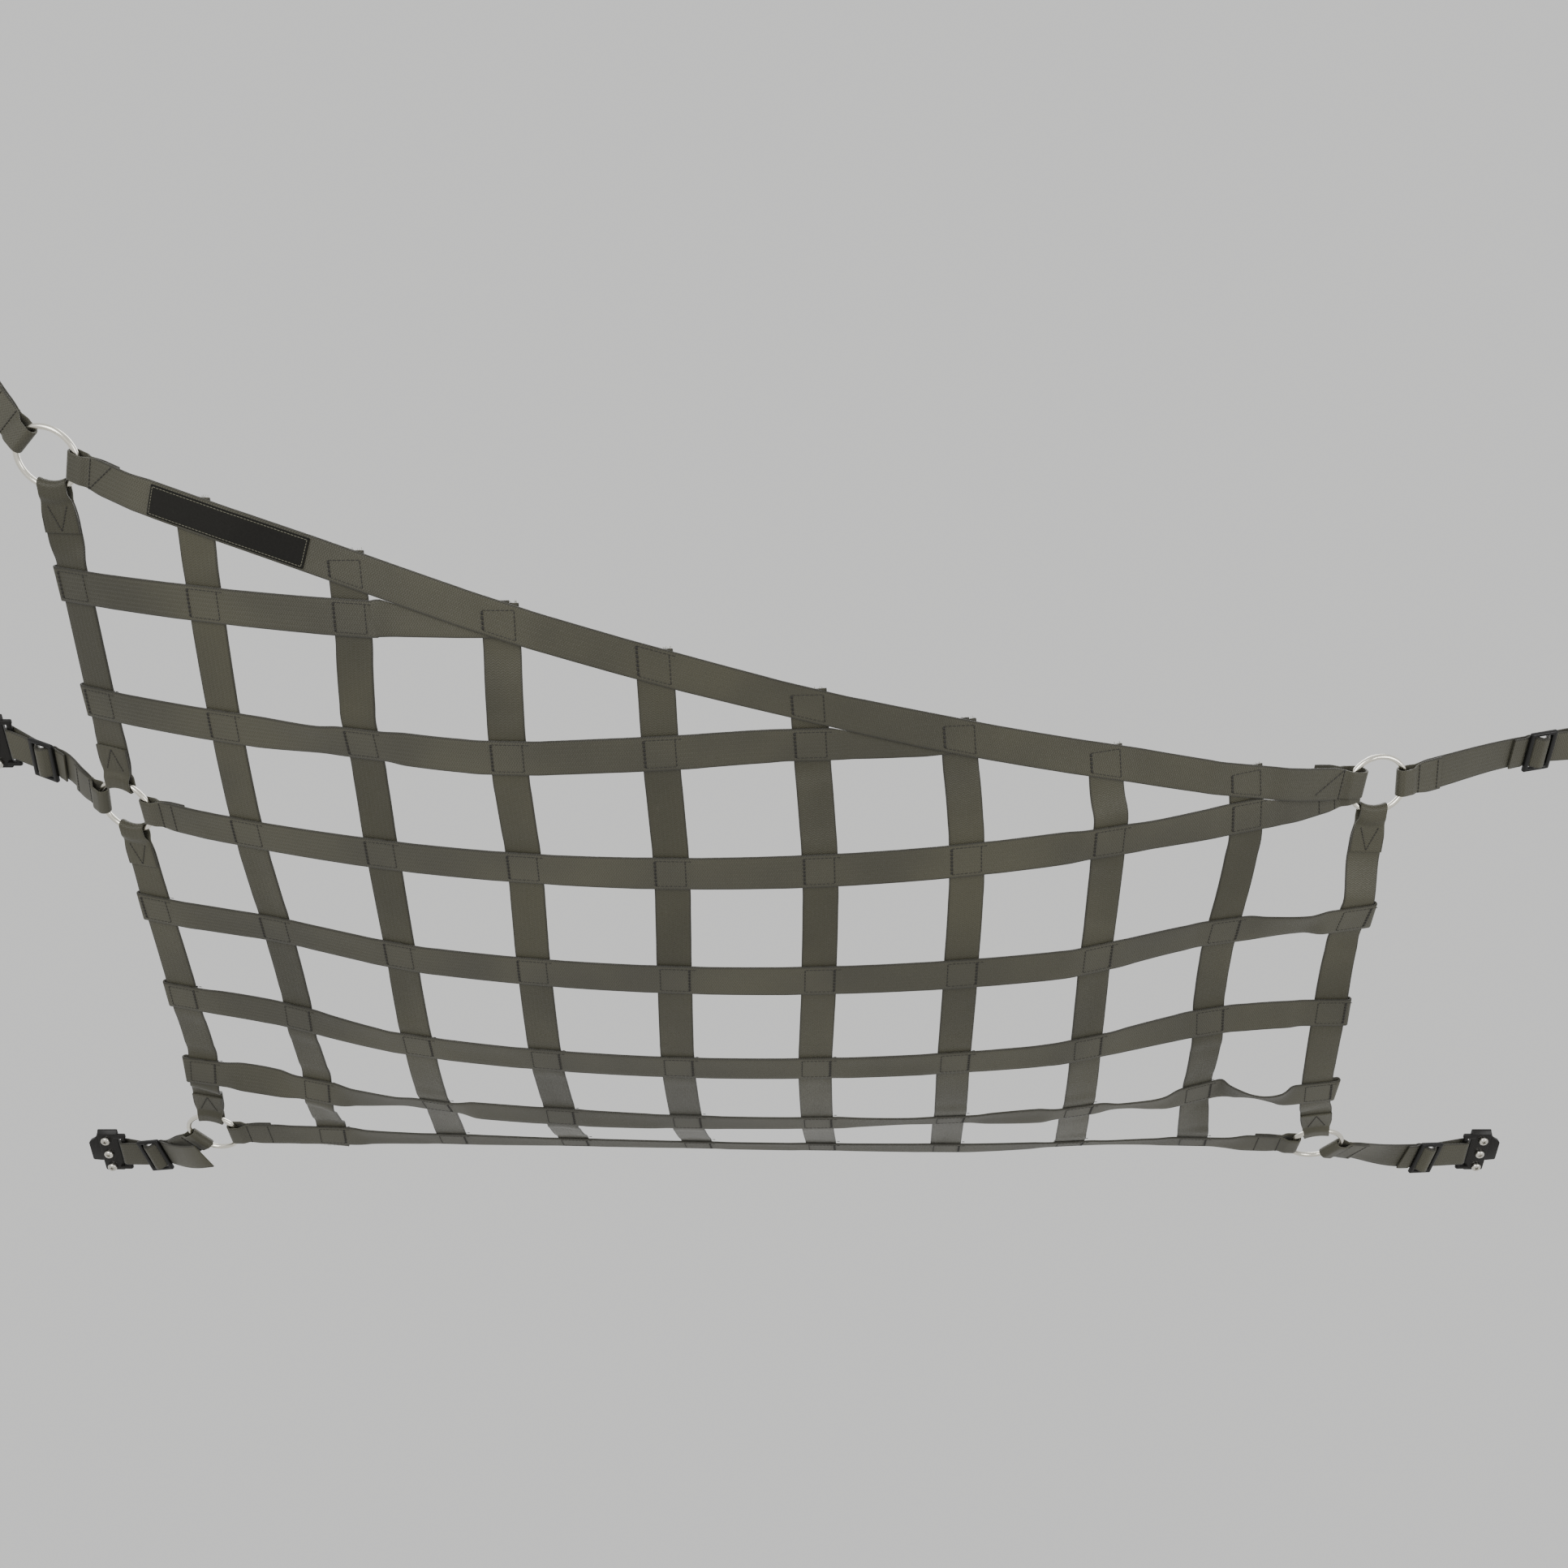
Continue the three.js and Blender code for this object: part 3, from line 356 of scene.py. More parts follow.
class StrapLine:
    """A strap's middle line with the direction of its upper face, by distance u along it."""

    def __init__(self, base: Base, patches: list[Patch]) -> None:
        """Keeps the free line, and the flat places that it passes through."""
        self.base = base
        self.patches = patches

    def blended(self, u: float) -> tuple[Vector, Vector]:
        """Point and upper face at u, with the flat places blended in.

        Args:
            u: distance along the strap.

        Returns:
            The point and the direction of the face.
        """
        point, normal = self.base(u)
        for patch in self.patches:
            away = u - patch.u
            ease = patch.ease_after if away > 0 and patch.ease_after else patch.ease
            weight = 1 - smooth(abs(away), patch.half, patch.half + ease)
            if weight > 0:
                point = point.lerp(patch.point + patch.along * away, weight)
                normal = normal.lerp(patch.normal, weight)
        return point, normal

    def at(self, u: float) -> Frame:
        """The strap's frame.

        Args:
            u: distance along the strap.

        Returns:
            The frame at that place.
        """
        step = 0.5
        point, normal = self.blended(u)
        along = (self.blended(u + step)[0] - self.blended(u - step)[0]).normalized()
        face = in_plane(normal, along)
        return Frame(point, along, face, face.cross(along))


def spans_between(patches: Sequence[Patch]) -> Base:
    """Smooth spans from one flat place to the next.

    Args:
        patches: the flat places in order.

    Returns:
        A function from u to the point and upper face there.
    """

    def base(u: float) -> tuple[Vector, Vector]:
        """Point and upper face of a span.

        Args:
            u: distance along the strap.

        Returns:
            The point and the direction of the face.
        """
        place = min(max(u, patches[0].u), patches[-1].u)
        k = max(i for i, patch in enumerate(patches[:-1]) if patch.u <= place)
        a, b = patches[k], patches[k + 1]
        span, t = b.u - a.u, (place - a.u) / (b.u - a.u)
        point = (a.point * (2 * t**3 - 3 * t**2 + 1) + a.along * ((t**3 - 2 * t**2 + t) * span)
                 + b.point * (3 * t**2 - 2 * t**3) + b.along * ((t**3 - t**2) * span))
        return point, a.normal.lerp(b.normal, smooth(t, 0, 1))

    return base


def sewn_half(a: Vector, b: Vector) -> float:
    """Half the length of the sewn place where straps with these directions cross."""
    cosine = abs(a.dot(b))
    return HALF_WIDTH * (1 + cosine) / math.sqrt(1 - cosine**2) + 0.5


@dataclass
class TuckPlace:
    """Where a tucked cross strap is in the diagonal's surface."""

    frame: Frame
    aside: float
    point: Vector


class NetLayout:
    """The middle lines of all straps and the places of the rings."""

    def __init__(self) -> None:
        """Works out crossings first, then rings, then lines."""
        self.curves = {strap.key: HangingCurve(strap) for strap in (*CROSS_STRAPS, DIAGONAL)}
        self.columns = [self._with_directions(self._meets(column)) for column in range(DIAGONAL.last + 1)]
        self.rings = [
            Ring(plan.strap, plan.column, self.crossing(plan.strap, plan.column).point,
                 Vector((*plan.lean, 1)).normalized())
            for plan in ANCHORS
        ]
        self.diagonal = StrapLine(self._row_base("T"), self._row_patches("T", DIAGONAL.last))
        self.rows = {strap.key: self._cross_line(strap) for strap in CROSS_STRAPS}

    def _meets(self, column: int) -> list[Crossing]:
        """Crossings of a length strap, from the hinge side to the diagonal.

        Args:
            column: the length strap's number.

        Returns:
            The crossings without directions.
        """
        crossed = [s for s in CROSS_STRAPS if column < s.last or (column == s.last and s.key not in TUCKED)]
        found = [Crossing(s.key, column, s.level, self.curves[s.key].point(column)) for s in crossed]
        return [*found, Crossing("T", column, LAST_LEVEL - column / 3, self.curves["T"].point(column))]

    def _with_directions(self, crossings: list[Crossing]) -> list[Crossing]:
        """Adds the direction and the upper face at each crossing.

        Args:
            crossings: the crossings of one length strap.

        Returns:
            The same crossings, filled in.
        """

        def slope(a: Crossing, b: Crossing) -> Vector:
            """Way from one crossing to another, by level."""
            return (b.point - a.point) / (b.level - a.level)

        for k, crossing in enumerate(crossings):
            before = crossings[k - 1] if k else None
            after = crossings[k + 1] if k + 1 < len(crossings) else None
            if before is None:
                down = slope(crossing, after)
            elif after is None:
                down = slope(before, crossing)
            else:
                down = (slope(before, crossing) * (after.level - crossing.level)
                        + slope(crossing, after) * (crossing.level - before.level))
            normal = down.cross(self.curves[crossing.key].along(crossing.column)).normalized()
            crossing.down = down
            crossing.normal = -normal if normal.z < 0 else normal
        return crossings

    def crossing(self, key: str, column: int) -> Crossing:
        """The crossing of a cross strap with a length strap."""
        shared = key in TUCKED and column == self.curves[key].strap.last
        return next(c for c in self.columns[column] if c.key == ("T" if shared else key))

    def row_normal(self, key: str, place: float) -> Vector:
        """Upper face of a cross strap at any place, with its twist.

        Args:
            key: the cross strap.
            place: place along it, in columns.

        Returns:
            The unit direction.
        """
        curve = self.curves[key]
        place = min(max(place, 0.0), curve.strap.last)
        k = min(int(place), curve.strap.last - 1)
        normal = self.crossing(key, k).normal.lerp(self.crossing(key, k + 1).normal, smooth(place, k, k + 1))
        along = curve.along(place)
        turn = Matrix.Rotation(-math.radians(curve.fold(place, "turn")), 3, along)
        return turn @ in_plane(normal, along)

    def row_patch(self, key: str, column: int) -> Patch:
        """The flat place of a cross strap at a crossing.

        Args:
            key: the cross strap.
            column: the length strap's number.

        Returns:
            The patch.
        """
        curve = self.curves[key]
        beside = key in TUCKED and column == curve.strap.last - 1
        normal = self.crossing("T", column).normal if beside else self.row_normal(key, column)
        along = in_plane(curve.along(column), normal)
        down = in_plane(self.crossing(key, column).down, normal)
        return Patch(column * curve.pitch, curve.point(column), along, normal, down, sewn_half(along, down))

    def ring_at(self, key: str, column: int) -> Ring | None:
        """The ring that stands in for a crossing, if there is one."""
        name = "T" if key == "C" and column == DIAGONAL.last else key
        return next((ring for ring in self.rings if (ring.strap, ring.column) == (name, column)), None)

    @staticmethod
    def hung_patch(ring: Ring, target: Vector, u: float, way: int) -> Patch:
        """The straight start of a strap that hinges on the wire of a ring.

        Args:
            ring: the ring.
            target: point that the strap runs to.
            u: distance along the strap where the ring's centre is.
            way: 1 where u grows away from the ring, or -1.

        Returns:
            The patch at the wire.
        """
        out = in_plane(target - ring.centre, ring.normal)
        hinge = ring.centre + out * RING_MEAN
        wire = ring.normal.cross(out)
        away = in_plane(target - hinge, wire)
        curve = RING_MEAN - math.sqrt(RING_MEAN**2 - LOOP.half_width**2)
        return Patch(u + way * RING_MEAN, hinge, away * way, away.cross(wire), wire, LOOP.flat - RING_MEAN,
                     lift=LOOP.lift + curve * abs(away.dot(ring.normal)))

    def _row_patches(self, key: str, last_own: int) -> list[Patch]:
        """Flat places of a cross strap.

        Args:
            key: the cross strap.
            last_own: its last crossing to take.

        Returns:
            The patches from the left.
        """
        curve = self.curves[key]
        found = []
        for column in range(last_own + 1):
            ring = self.ring_at(key, column)
            way = 1 if column == 0 else -1
            if ring:
                target = curve.point(column + way * LOOP.flat / curve.pitch)
                found.append(self.hung_patch(ring, target, column * curve.pitch, way))
                continue
            patch = self.row_patch(key, column)
            if column in (0, DIAGONAL.last):
                patch.half = max(patch.half, WRAP_FLAT)
            found.append(patch)
        return found

    def _row_base(self, key: str) -> Base:
        """The free hanging line of a cross strap.

        Args:
            key: the cross strap.

        Returns:
            A function from u to the point and upper face there.
        """
        curve = self.curves[key]
        return lambda u: (curve.point(min(max(u / curve.pitch, 0), curve.strap.last)),
                          self.row_normal(key, u / curve.pitch))

    def tuck_place(self, key: str, u: float) -> TuckPlace:
        """Place of a tucked cross strap, after its last crossing, in the diagonal's own surface.

        Args:
            key: the cross strap.
            u: distance along it.

        Returns:
            The diagonal's frame beside it and the place.
        """
        curve, last = self.curves[key], self.curves[key].strap.last
        start = self.diagonal.patches[last - 1]
        offset = curve.point(last - 1) - start.point
        foot = self.curves["T"].pitch - offset.dot(start.along)
        left = last - u / curve.pitch
        found = self.diagonal.at(self.curves["T"].pitch * last - foot * left)
        aside = offset.dot(start.normal.cross(start.along)) * left
        return TuckPlace(found, aside, found.point + found.across * aside)

    def _cross_line(self, strap: HungStrap) -> StrapLine:
        """Line of a cross strap.

        Args:
            strap: its row of the table.

        Returns:
            The line, which follows the diagonal's surface where the strap is tucked under it.
        """
        key, free = strap.key, self._row_base(strap.key)
        if key not in TUCKED:
            return StrapLine(free, self._row_patches(key, strap.last))
        patches = self._row_patches(key, strap.last - 1)
        patches[-1].ease_after = TUCK_EASE
        from_u = patches[-1].u

        def base(u: float) -> tuple[Vector, Vector]:
            """Point and upper face of a tucked strap.

            Args:
                u: distance along the strap.

            Returns:
                The point and the direction of the face.
            """
            if u <= from_u:
                return free(u)
            place = self.tuck_place(key, u)
            return place.point, place.frame.normal

        return StrapLine(base, patches)

    def length_line(self, column: int, from_level: float, to_level: float) -> StrapLine:
        """Line of a length strap, or of a piece of it between two rings.

        Args:
            column: its number.
            from_level: first level.
            to_level: last level.

        Returns:
            The line.
        """
        crossings = [c for c in self.columns[column] if from_level <= c.level <= to_level]
        patches = []
        for k, crossing in enumerate(crossings):
            ring = self.ring_at(crossing.key, column)
            way = -1 if k else 1
            u = crossing.level * COLUMN_PITCH
            if ring:
                patches.append(self.hung_patch(ring, crossings[k + way].point, u, way))
                continue
            row = self.row_patch(crossing.key, column)
            patches.append(Patch(u, row.point, row.down, row.normal, row.along, row.half))
        return StrapLine(spans_between(patches), patches)


# Bands of webbing


@dataclass
class Stop:
    """A cross section of a band: distance along the line, height over it, and half widths.

    A stop with a pin goes straight on from that place. arch bends the section round a ring, and crease
    lifts its middle over its edges.
    """

    u: float
    h: float
    near: float = HALF_WIDTH
    far: float = HALF_WIDTH
    pin: float | None = None
    aside: float = 0.0
    slant: float = 0.0
    arch: float = 0.0
    crease: float = 0.0


def stretch(start: float, end: float, height: Height, crease: Height = lambda u: 0.0) -> list[Stop]:
    """Even stops from one distance to another, with their height and crease by distance."""
    count = max(2, math.ceil(abs(end - start) / SECTION_STEP) + 1)
    return [Stop(float(u), height(float(u)), crease=crease(float(u))) for u in np.linspace(start, end, count)]


def creases(patches: Sequence[Patch], strap: int, depth: float) -> Height:
    """The lengthwise creases that a strap keeps from its time on the roll, flat where it is sewn.

    Args:
        patches: the strap's flat places in order.
        strap: a number that sets this strap's pattern.
        depth: greatest height of a crease.

    Returns:
        Height of the crease by distance along the strap.
    """

    def height(u: float) -> float:
        """Height of the crease.

        Args:
            u: distance along the strap.

        Returns:
            The height, 0 where the strap is sewn.
        """
        for k, (a, b) in enumerate(zip(patches, patches[1:])):
            low, high = a.u + a.half, b.u - b.half
            if low < u < high:
                share = 0.55 + 0.45 * math.sin(2.3 * strap + 1.9 * k)      # unlike that of its neighbours
                return (depth * share * smooth(u, low, low + CREASE_EASE)
                        * (1 - smooth(u, high - CREASE_EASE, high)))
        return 0.0

    return height


def loop_round_ring(lift: float, main: float, at: float, way: int, sizes: LoopSizes = LOOP,
                    arched: bool = False) -> list[Stop]:
    """From the flat strap to the ring, round its wire and back to the cut end.

    Args:
        lift: how far both layers stand off the wire.
        main: height of the strap's main layer.
        at: distance along its line of the ring's centre.
        way: 1 where the strap runs on from there, or -1.
        sizes: the loop's sizes.
        arched: whether the fold follows the ring's curve.

    Returns:
        The stops, which start at the flat strap.
    """
    side = math.copysign(1, main)

    def stop(r: float, h: float) -> Stop:
        """One section with its width and arch.

        Args:
            r: distance from the ring's centre.
            h: height over the line.

        Returns:
            The stop.
        """
        half = sizes.half_width + (HALF_WIDTH - sizes.half_width) * smooth(r, sizes.wide_from, sizes.wide_to)
        bend = way * (1 - smooth(r, sizes.arch_from, sizes.arch_to)) if arched else 0.0
        return Stop(at + way * r, h, half, half, arch=bend)

    def height(r: float) -> float:
        """Height of either layer off the middle at r."""
        return abs(main) + lift * (1 - smooth(r, sizes.opened, sizes.closed))

    inwards, turns, outwards = sizes.steps
    inward = np.linspace(sizes.flat - 1, sizes.nose + sizes.clear, inwards)
    outward = np.linspace(sizes.nose + sizes.clear, sizes.end, outwards)
    lifted = abs(main) + lift
    angles = [math.pi * k / turns for k in range(turns + 1)]
    nose = [stop(sizes.nose - lifted * math.sin(a), side * lifted * math.cos(a)) for a in angles]
    return [*(stop(float(r), side * height(float(r))) for r in inward), *nose,
            *(stop(float(r), -side * height(float(r))) for r in outward)]


def wrap_round_strap(edge: float, at: float, way: int) -> list[Stop]:
    """Round the outer edge of a length strap and back over it.

    Args:
        edge: distance from the crossing to the fold.
        at: distance along the line of the crossing.
        way: 1 where the fold lies further along the line, or -1.

    Returns:
        The stops from the fold to the cut end.
    """
    turns, backwards = 10, 9
    angles = [math.pi * k / turns for k in range(turns + 1)]
    nose = [Stop(at + way * (edge + LAYER * math.sin(a)), HALF_LAYER - LAYER * math.cos(a)) for a in angles]
    back = np.linspace(edge - WRAP_START, edge - WRAP_LENGTH, backwards)
    return [*nose, *(Stop(at + way * float(r), HALF_LAYER + LAYER) for r in back)]


def select_only(piece: Piece) -> None:
    """Selects one object and makes it the active one.

    Args:
        piece: the object.
    """
    bpy.ops.object.select_all(action="DESELECT")
    piece.select_set(True)
    bpy.context.view_layer.objects.active = piece


def added(primitive: Callable[..., object], **settings: object) -> Piece:
    """Adds a primitive with nothing else selected, and its place and turn in its mesh.

    Args:
        primitive: the operator.
        **settings: its sizes, place and turn.

    Returns:
        The new piece.
    """
    bpy.ops.object.select_all(action="DESELECT")
    primitive(**settings)
    bpy.ops.object.transform_apply(location=True, rotation=True, scale=True)
    return bpy.context.active_object


def named(piece: Piece, name: str) -> Piece:
    """Gives a piece and its mesh their name.

    Args:
        piece: the piece.
        name: the name of both.

    Returns:
        The same piece.
    """
    piece.name = name
    piece.data.name = name
    return piece


def finish_with(piece: Piece, kind: str, **settings: object) -> None:
    """Adds a modifier and applies it.

    Args:
        piece: the object.
        kind: the modifier's type.
        **settings: its properties.
    """
    select_only(piece)
    modifier = piece.modifiers.new(kind.lower(), kind)
    for key, value in settings.items():
        setattr(modifier, key, value)
    bpy.ops.object.modifier_apply(modifier=modifier.name)


def rounded(piece: Piece, width: float, steps: int, degrees: float) -> None:
    """Rounds the edges that are sharper than an angle, by a width in millimetres."""
    finish_with(piece, "BEVEL", width=width * MM, segments=steps, limit_method="ANGLE",
                angle_limit=math.radians(degrees))


def edit_faces(piece: Piece, wanted: Callable[[Vector], bool]) -> None:
    """Goes into edit mode with some faces selected.

    Args:
        piece: the piece, which is the active one.
        wanted: test on a face's middle, in millimetres.
    """
    bpy.ops.object.mode_set(mode="EDIT")
    bpy.ops.mesh.select_all(action="DESELECT")
    bpy.ops.object.mode_set(mode="OBJECT")
    for face in piece.data.polygons:
        face.select = wanted(face.center / MM)
    bpy.ops.object.mode_set(mode="EDIT")


def raised(piece: Piece, height: float) -> Piece:
    """Raises a flat piece in edit mode to a plate, with its faces outwards, and leaves edit mode.

    Args:
        piece: the piece.
        height: thickness of the plate in millimetres.

    Returns:
        The same piece.
    """
    bpy.ops.mesh.select_all(action="SELECT")
    bpy.ops.mesh.extrude_region_move(TRANSFORM_OT_translate={"value": (0, 0, height * MM)})
    bpy.ops.mesh.select_all(action="SELECT")
    bpy.ops.mesh.normals_make_consistent(inside=False)
    bpy.ops.object.mode_set(mode="OBJECT")
    return piece


def combined(piece: Piece, other: Piece, operation: str) -> None:
    """Joins another piece to a piece, or cuts it out, and removes the other one."""
    finish_with(piece, "BOOLEAN", object=other, operation=operation, solver="EXACT")
    bpy.data.objects.remove(other, do_unlink=True)


def smooth_shading(piece: Piece, degrees: float = 40) -> None:
    """Shades a piece smooth, apart from edges sharper than the angle."""
    select_only(piece)
    bpy.ops.object.shade_smooth_by_angle(angle=math.radians(degrees))


def placed(name: str, data: bpy.types.ID) -> Piece:
    """Puts a mesh, lamp or camera into the scene.

    Args:
        name: name of the object.
        data: what it shows.

    Returns:
        The object.
    """
    made = bpy.data.objects.new(name, data)
    bpy.context.scene.collection.objects.link(made)
    return made


def copy_of(piece: Piece, name: str, place: Matrix) -> Piece:
    """A copy with its own mesh, with its place in the mesh.

    Args:
        piece: the piece that is copied.
        name: name of the copy.
        place: where the copy goes.

    Returns:
        The copy, whose object sits at the origin.
    """
    made = placed(name, piece.data.copy())
    made.data.transform(place)
    if place.determinant() < 0:
        made.data.flip_normals()
    return named(made, name)


@dataclass
class Band:
    """A band of webbing that is laid along a line."""

    name: str
    line: StrapLine
    stops: list[Stop]
    thick: float = WEB_THICK
    rounding: float = 0.42
    across: int = 6

    def frame_of(self, stop: Stop) -> Frame:
        """The frame of a stop, with its centre on the band.

        Args:
            stop: the cross section.

        Returns:
            The frame.
        """
        pin = stop.u if stop.pin is None else stop.pin
        found = self.line.at(pin)
        found.point = (found.point + found.normal * stop.h + found.along * (stop.u - pin)
                       + found.across * stop.aside)
        return found

    def length(self) -> float:
        """Length of the band along its middle."""
        centres = [self.frame_of(stop).point for stop in self.stops]
        return sum((b - a).length for a, b in zip(centres, centres[1:]))

    def build(self) -> Piece:
        """Lays a grid along the stops and gives it its thickness and rounded edges.

        Returns:
            The finished band.
        """
        count = len(self.stops)
        grid = added(bpy.ops.mesh.primitive_grid_add, x_subdivisions=count - 1, y_subdivisions=self.across,
                     size=2)
        piece = named(grid, self.name)
        mesh = piece.data
        flat = np.empty(len(mesh.vertices) * 3)
        mesh.vertices.foreach_get("co", flat)
        flat = flat.reshape(-1, 3)
        rows = np.rint((flat[:, 0] + 1) / 2 * (count - 1)).astype(int)
        cols = np.rint((flat[:, 1] + 1) / 2 * self.across).astype(int)
        places = np.empty((count, self.across + 1, 3))
        widths = np.empty((count, self.across + 1))
        lengths = np.zeros(count)
        chord = math.sqrt(RING_MEAN**2 - LOOP.half_width**2)
        previous = None
        for i, stop in enumerate(self.stops):
            found = self.frame_of(stop)
            if previous is not None:
                lengths[i] = lengths[i - 1] + (found.point - previous).length
            previous = found.point
            for j in range(self.across + 1):
                w = -stop.near + (stop.near + stop.far) * j / self.across
                shift = stop.arch * (math.sqrt(max(RING_MEAN**2 - w * w, 0)) - chord) if stop.arch else 0.0
                shift -= stop.slant * w / HALF_WIDTH
                ridge = stop.crease * (0.5 - abs(w) / HALF_WIDTH)
                places[i, j] = found.point + found.across * w + found.along * shift + found.normal * ridge
                widths[i, j] = w
        mesh.vertices.foreach_set("co", (places[rows, cols] * MM).ravel())
        corner = np.empty(len(mesh.loops), dtype=np.int32)
        mesh.loops.foreach_get("vertex_index", corner)
        uv = np.stack([lengths[rows[corner]], widths[rows[corner], cols[corner]]], axis=1) * MM
        mesh.uv_layers.active.data.foreach_set("uv", uv.ravel())
        mesh.update()
        finish_with(piece, "SOLIDIFY", thickness=self.thick * MM, offset=0.0, use_even_offset=False)
        rounded(piece, self.rounding, 2, 50)
        smooth_shading(piece)
        return piece


# Finishes


class Graph:
    """A short way to fill a node tree."""

    def __init__(self, tree: bpy.types.NodeTree) -> None:
        """Keeps the node tree of a material, world or group, and empties it."""
        self.tree = tree
        tree.nodes.clear()

    def node(self, kind: str, inputs: dict[str | int, object] | None = None,
             **settings: object) -> bpy.types.Node:
        """Adds a node.

        Args:
            kind: the node's type.
            inputs: values or sockets for its inputs, by name or number.
            **settings: its properties.

        Returns:
            The node.
        """
        made = self.tree.nodes.new(kind)
        for key, value in settings.items():
            setattr(made, key, value)
        for key, value in (inputs or {}).items():
            self.feed(made.inputs[key], value)
        return made

    def feed(self, socket: Socket, value: object) -> None:
        """Links a socket to another one, or gives it a value.

        Args:
            socket: the input.
            value: an output's socket, or the value.
        """
        if isinstance(value, Socket):
            self.tree.links.new(value, socket)
        else:
            socket.default_value = value

    def math(self, operation: str, a: object, b: object = 0.0) -> Socket:
        """A sum or other calculation of two values."""
        return self.node("ShaderNodeMath", {0: a, 1: b}, operation=operation).outputs[0]

    def noise(self, vector: object, scale: object, detail: float, rough: float = 0.55) -> Socket:
        """Soft noise from 0 to 1."""
        return self.node("ShaderNodeTexNoise", {"Vector": vector, "Scale": scale, "Detail": detail,
                                                "Roughness": rough}).outputs["Fac"]

    def span(self, value: object, low: float, high: float, to_low: object = 0.0,
             to_high: object = 1.0) -> Socket:
        """Maps a value from one range to another, smoothly."""
        return self.node("ShaderNodeMapRange", {0: value, 1: low, 2: high, 3: to_low, 4: to_high},
                         interpolation_type="SMOOTHSTEP").outputs[0]

    def mix(self, share: object, a: object, b: object) -> Socket:
        """Mixes two colours.

        Args:
            share: how much of the second one is seen.
            a: the first colour.
            b: the second colour.

        Returns:
            The mixed colour.
        """
        made = self.node("ShaderNodeMix", data_type="RGBA")
        self.feed(made.inputs[0], share)
        self.feed(made.inputs[6], a)
        self.feed(made.inputs[7], b)
        return made.outputs[2]

    def group(self, group: bpy.types.NodeTree, **inputs: object) -> bpy.types.Node:
        """Places a node group with its own values."""
        return self.node("ShaderNodeGroup", inputs, node_tree=group)

    def relief(self, shader: bpy.types.Node, height: object, strength: float, distance: float) -> None:
        """Gives a shader its fine relief by bump."""
        bump = self.node("ShaderNodeBump", {"Height": height, "Strength": strength, "Distance": distance})
        self.feed(shader.inputs["Normal"], bump.outputs[0])


class Groups:
    """Shader node groups that more than one finish uses, each built once."""

    @staticmethod
    def _new(name: str, inputs: dict[str, str],
             outputs: Sequence[str]) -> tuple[Graph, dict[str, Socket], bpy.types.Node]:
        """Starts a group with its sockets.

        Args:
            name: name of the group.
            inputs: name and socket type of each input.
            outputs: names of the outputs, all plain numbers.

        Returns:
            The graph, the inputs' sockets by name, and the output node.
        """
        tree = bpy.data.node_groups.new(name, "ShaderNodeTree")
        for key, kind in inputs.items():
            tree.interface.new_socket(key, in_out="INPUT", socket_type=kind)
        for key in outputs:
            tree.interface.new_socket(key, in_out="OUTPUT", socket_type="NodeSocketFloat")
        graph = Graph(tree)
        entry = graph.node("NodeGroupInput")
        sockets = {key: entry.outputs[key] for key in inputs}
        return graph, sockets, graph.node("NodeGroupOutput")

    @staticmethod
    @cache
    def weave() -> bpy.types.NodeTree:
        """Woven webbing: yarns in a herringbone of slanted ribs.

        Returns:
            A group with the yarns' height and a mask of the gaps between them, where shade is painted.
        """
        g, given, out = Groups._new("webbing weave", {"Vector": "NodeSocketVector", "Rib": "NodeSocketFloat",
                                                      "Yarn": "NodeSocketFloat"}, ("Height", "Gap shade"))
        parts = g.node("ShaderNodeSeparateXYZ", {0: given["Vector"]})
        run = g.math("DIVIDE", parts.outputs[0], given["Rib"])
        side = g.math("DIVIDE", parts.outputs[1], given["Yarn"])
        zigzag = g.math("PINGPONG", side, 1.0)
        slanted = g.math("ADD", run, g.math("MULTIPLY", zigzag, 0.8))
        rib = g.math("ABSOLUTE", g.math("SINE", g.math("MULTIPLY", slanted, math.pi)))
        yarn = g.math("ABSOLUTE", g.math("SINE", g.math("MULTIPLY", side, math.pi)))
        height = g.math("MULTIPLY", g.math("POWER", rib, 0.6),
                        g.math("ADD", 0.55, g.math("MULTIPLY", yarn, 0.45)))
        g.feed(out.inputs["Height"], height)
        g.feed(out.inputs["Gap shade"], g.span(height, 0.05, 0.5, 1.0, 0.0))
        return g.tree

    @staticmethod
    @cache
    def handling() -> bpy.types.NodeTree:
        """Marks of use in a piece's own space.

        Returns:
            A group with a wide drift of tone, fine fuzz, and a mask of dust.
        """
        g, given, out = Groups._new("marks of use", {"Scale": "NodeSocketFloat"}, ("Drift", "Fuzz", "Dust"))
        place = g.node("ShaderNodeTexCoord").outputs["Object"]
        g.feed(out.inputs["Drift"], g.span(g.noise(place, given["Scale"], 2.0), 0.3, 0.7))
        fine = g.noise(place, g.math("MULTIPLY", given["Scale"], 90.0), 2.0)
        g.feed(out.inputs["Fuzz"], fine)
        specks = g.noise(place, g.math("MULTIPLY", given["Scale"], 22.0), 4.0, 0.7)
        g.feed(out.inputs["Dust"], g.span(specks, 0.58, 0.78))
        return g.tree


def new_material(name: str) -> tuple[bpy.types.Material, Graph, bpy.types.Node]:
    """A material with a Principled shader.

    Args:
        name: the material's name.

    Returns:
        The material, its graph and the shader node.
    """
    made = bpy.data.materials.new(name)
    made.use_nodes = True
    graph = Graph(made.node_tree)
    shader = graph.node("ShaderNodeBsdfPrincipled")
    out = graph.node("ShaderNodeOutputMaterial")
    graph.feed(out.inputs["Surface"], shader.outputs[0])
    return made, graph, shader


Colour = tuple[float, float, float, float]


